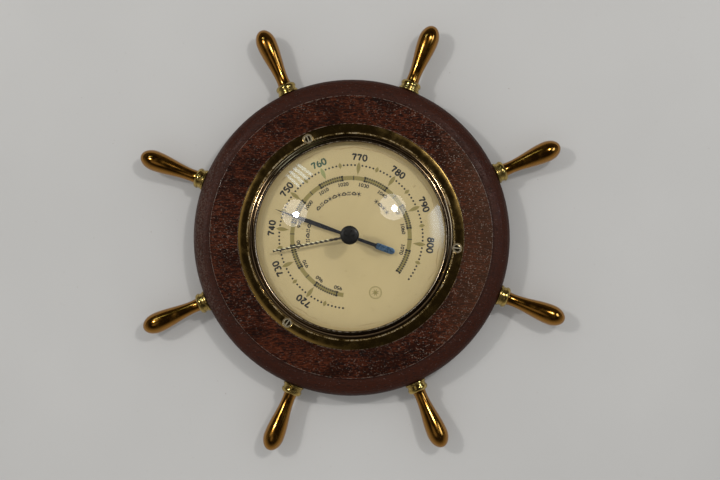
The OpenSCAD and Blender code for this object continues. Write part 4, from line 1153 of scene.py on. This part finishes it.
def at_angle(part, degrees):
    """A mesh part drawn about the top of the dial, turned to its angle."""
    return swing(part, degrees - 90)


def mm_angle(value):
    """Own angle of a reading in millimetres of mercury: 3 degrees each, with 760 at the top."""
    return 90 - 3 * (value - MM_TOP)


def mbar_angle(value):
    """Own angle of a reading in millibars: 2.25 degrees each. The first is at 256.1 in the photograph."""
    return 256.1 - ROLL - 2.25 * (value - MBAR_FIRST)


def lozenge(tip_out, wide_at, tip_in, width):
    """Mesh part of a pointed lozenge on the dial's top: widest at one radius, its sides curved inwards."""
    r_out = np.linspace(tip_out, wide_at, 5)
    r_in = np.linspace(wide_at, tip_in, 8)[1:]
    w_out = width / 2 * np.sin((tip_out - r_out) / (tip_out - wide_at) * math.pi / 2) ** 0.8
    w_in = width / 2 * np.cos((wide_at - r_in) / (wide_at - tip_in) * math.pi / 2) ** 1.35
    r, w = np.concatenate([r_out, r_in]), np.maximum(np.concatenate([w_out, w_in]), 0.03)
    return slab(np.concatenate([np.stack([-w, r], -1), np.stack([w, r], -1)[::-1]]))


class BAROMETER_OT_dial(Operator):
    """Dial with its printed scales, numerals and ornaments"""

    bl_idname = "barometer.dial"
    bl_label = "Dial"

    def execute(self, context):
        c = colours()
        finish_nodes(dial_finish(), ["dial_plate"])
        black = ink_finish("print_black", c.print_black, worn=0.06)
        gold = ink_finish("print_gold", c.print_gold, 0.4)
        green = ink_finish("print_green", (0.010, 0.070, 0.035))
        pale_green = ink_finish("print_pale_green", (0.30, 0.31, 0.10), 0.4)

        # Outer scale: a dot for each millimetre, a short lozenge at the fives, a long one and a number
        # at the tens. The 760 at the top is green.
        dot_r, height = 0.52, sizes().numeral_height / MM
        dot = arc(0, DOT_RING, dot_r, dot_r, 0, 315, 8)
        dots = [at_angle(slab(dot), mm_angle(v)) for v in range(MM_FIRST, MM_LAST + 1)
                if v % 5 or v in (MM_FIRST, MM_LAST)]
        make_piece("scale_dots", dots, black)
        others = [v for v in range(MM_FIRST + 10, MM_LAST, 10) if v != MM_TOP]
        for name, tens, ink in (("scale_numerals", others, black),
                                ("scale_numeral_green", [MM_TOP], green)):
            letters = [p for v in tens for p in numerals(str(v), height, NUMERAL_RING, mm_angle(v))]
            make_piece(name, letters, ink)
        fives = range(MM_FIRST + 5, MM_LAST, 10)
        marks = [at_angle(lozenge(*LONG_MARK), mm_angle(v)) for v in others]
        marks += [at_angle(lozenge(*SHORT_MARK), mm_angle(v)) for v in fives]
        make_piece("scale_lozenges", marks, gold)
        make_piece("scale_lozenge_green", [at_angle(lozenge(*LONG_MARK), mm_angle(MM_TOP))], pale_green)

        # Inner scale: a gold band that starts 3 millibars early, black bars at the tens, small numbers
        # inside. Every other ten has dots for its millibars on both edges, and the tens between have a
        # line at the five.
        t = np.radians(np.linspace(mbar_angle(MBAR_EARLY), mbar_angle(MBAR_LAST), 200))
        inner, outer = MILLIBAR_BAND
        band = np.stack([np.stack([r * np.cos(t), r * np.sin(t), 0 * t + z], -1) for r, z in
                         ((outer, INK_LOW), (outer, INK_HIGH), (inner, INK_HIGH), (inner, INK_LOW))], 1)
        make_piece("millibar_band", [net(capped(band))], gold, crease=30)
        over = INK_HIGH + INK_GAP
        ticks = []
        for v in range(MBAR_FIRST, MBAR_LAST + 1):
            if v % 10 == 0:
                bars = TEN_BARS
            elif (v // 10) % 2 == 1:
                bars = DOT_BARS
            else:
                bars = FIVE_BARS if v % 5 == 0 else []
            for w, r0, r1 in bars:
                plate = np.array([(w / 2, r0), (w / 2, r1), (-w / 2, r1), (-w / 2, r0)])
                ticks.append(at_angle(slab(plate, over, over + INK_T), mbar_angle(v)))
        make_piece("millibar_ticks", ticks, black)
        labels = [p for v in range(MBAR_FIRST, MBAR_LAST, 10)
                  for p in numerals(str(v), 1.75, MILLIBAR_NUMBERS, mbar_angle(v))]
        make_piece("millibar_numbers", labels, black)
        self.ornaments(black, gold)
        return {"FINISHED"}

    def ornaments(self, black, gold):
        """Rows of plain signs for the weather: drops for rain, clouds and suns for change, suns for fair.

        The small rose at the foot of the dial is a pair of rings round a star of eight points, its radius
        swinging between an outer and an inner value.
        """
        stroke, spacing = 0.55, 6.6  # mm and degrees

        def sun():
            rays = [[around(r, a)[:2] for r in (0.82, 1.2)] for a in range(30, 360, 60)]
            return ([ribbon(arc(0, 0, 0.36, 0.36, 0, 360, 17), stroke)]
                    + [ribbon(ray, stroke * 0.9) for ray in rays])

        def cloud():
            bulges = ((-0.55, -0.2, 0.42, 270, 100), (0, 0.15, 0.48, 160, 20), (0.6, -0.2, 0.42, 80, -90))
            arcs = [arc(x, y, r, r, start, end, 7) for x, y, r, start, end in bulges]
            return [ribbon(stack(*arcs, (-0.55, -0.62)), stroke)]

        def drops():
            falls = ((0.25, 0.95, -0.2, 0.1), (0.2, -0.2, -0.25, -1.0))
            return [ribbon([(x + x1, y1), (x + x2, y2)], stroke) for x1, y1, x2, y2 in falls
                    for x in (-0.5, 0.45)]

        # Each row has its middle's angle in the photograph
        rows = ((172.0, [drops, cloud, drops, cloud, drops]),
                (109.0, [cloud, drops, cloud, sun, cloud, sun, cloud, drops, cloud, sun]),
                (44.0, [sun, cloud, sun, sun]))
        parts = []
        for middle, signs in rows:
            for k, sign in enumerate(signs):
                for part in sign():
                    part[0][:, 1] += WEATHER_RING
                    parts.append(at_angle(part, middle - ROLL - (k - (len(signs) - 1) / 2) * spacing))
        make_piece("weather_signs", parts, black)
        t = full_turn(16)
        star_r = np.where(np.arange(16) % 2 == 0, 2.1, 0.75)
        star_r[::4] = 2.45
        rose = [slab(np.stack([star_r * np.cos(t), star_r * np.sin(t)], -1))]
        rose += [ribbon(arc(0, 0, r, r, 0, 360, 49), w) for r, w in ((3.05, 0.3), (2.62, 0.14))]
        for part in rose:
            part[0][:, 1] += ROSE_RING
            at_angle(part, 270)
        make_piece("dial_rose", rose, gold)


class BAROMETER_OT_case(Operator):
    """Finishes of the drawn case, the hanger and the movement inside"""

    bl_idname = "barometer.case"
    bl_label = "Case, hanger and movement"

    def execute(self, context):
        finish_nodes(case_finish(), ["case_pot"])
        hanger = brass_finish("hanger_brass", (0.66, 0.50, 0.20), 0.3, 0.6, (0.13, 0.075, 0.03),
                              patch_scale=420)
        finish_nodes(hanger, ["hanger_plate"])
        finish_nodes(brass_finish("movement_brass", (0.74, 0.58, 0.26), 0.24, 0.3), [
            "dial_pillars", "base_plate", "capsule_foot", "spring_bridge", "clamp_plate", "main_lever",
            "rocker_frame", "cage_pillars", "lower_bearing_plate", "upper_bearing_plate",
            "hairspring_stud"])
        steel = brass_finish("movement_steel", (0.46, 0.47, 0.49), 0.28, 0.25, (0.16, 0.14, 0.12))
        finish_nodes(steel, [
            "spring_washer", "pointer_arbor", "capsule_back", "capsule_front", "capsule_post",
            "main_spring", "clamp_screws", "lever_link", "rocker_shaft", "frame_screws", "cage_screws",
            "chain", "hairspring"])
        return {"FINISHED"}


class BAROMETER_PT_panel(Panel):
    """Lists the barometer's pieces and settings"""

    bl_idname = "BAROMETER_PT_panel"
    bl_label = "Barometer"
    bl_space_type = "VIEW_3D"
    bl_region_type = "UI"
    bl_category = "Barometer"

    def draw(self, context):
        for operator in OPERATORS:
            self.layout.operator(operator.bl_idname)
        for group in (context.scene.barometer_sizes, context.scene.barometer_colours):
            box = self.layout.box()
            for name in group.__annotations__:
                box.prop(group, name)


OPERATORS = (
    BAROMETER_OT_stage, BAROMETER_OT_wheel, BAROMETER_OT_handles, BAROMETER_OT_bezel, BAROMETER_OT_glass,
    BAROMETER_OT_knob, BAROMETER_OT_hands, BAROMETER_OT_dial, BAROMETER_OT_case)
CLASSES = (BarometerSizes, BarometerColours, *OPERATORS, BAROMETER_PT_panel)


def register():
    for cls in CLASSES:
        bpy.utils.register_class(cls)
    bpy.types.Scene.barometer_sizes = PointerProperty(type=BarometerSizes)
    bpy.types.Scene.barometer_colours = PointerProperty(type=BarometerColours)


def unregister():
    del bpy.types.Scene.barometer_colours
    del bpy.types.Scene.barometer_sizes
    for cls in reversed(CLASSES):
        bpy.utils.unregister_class(cls)


def main():
    """Makes the stage and every piece, in order."""
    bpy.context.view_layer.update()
    register()
    bpy.context.scene.view_settings.view_transform = "Standard"
    bpy.ops.barometer.stage()
    bpy.ops.barometer.wheel()
    bpy.ops.barometer.handles()
    bpy.ops.barometer.bezel()
    bpy.ops.barometer.glass()
    bpy.ops.barometer.knob()
    bpy.ops.barometer.hands()
    bpy.ops.barometer.dial()
    bpy.ops.barometer.case()


if __name__ == "__main__":
    main()
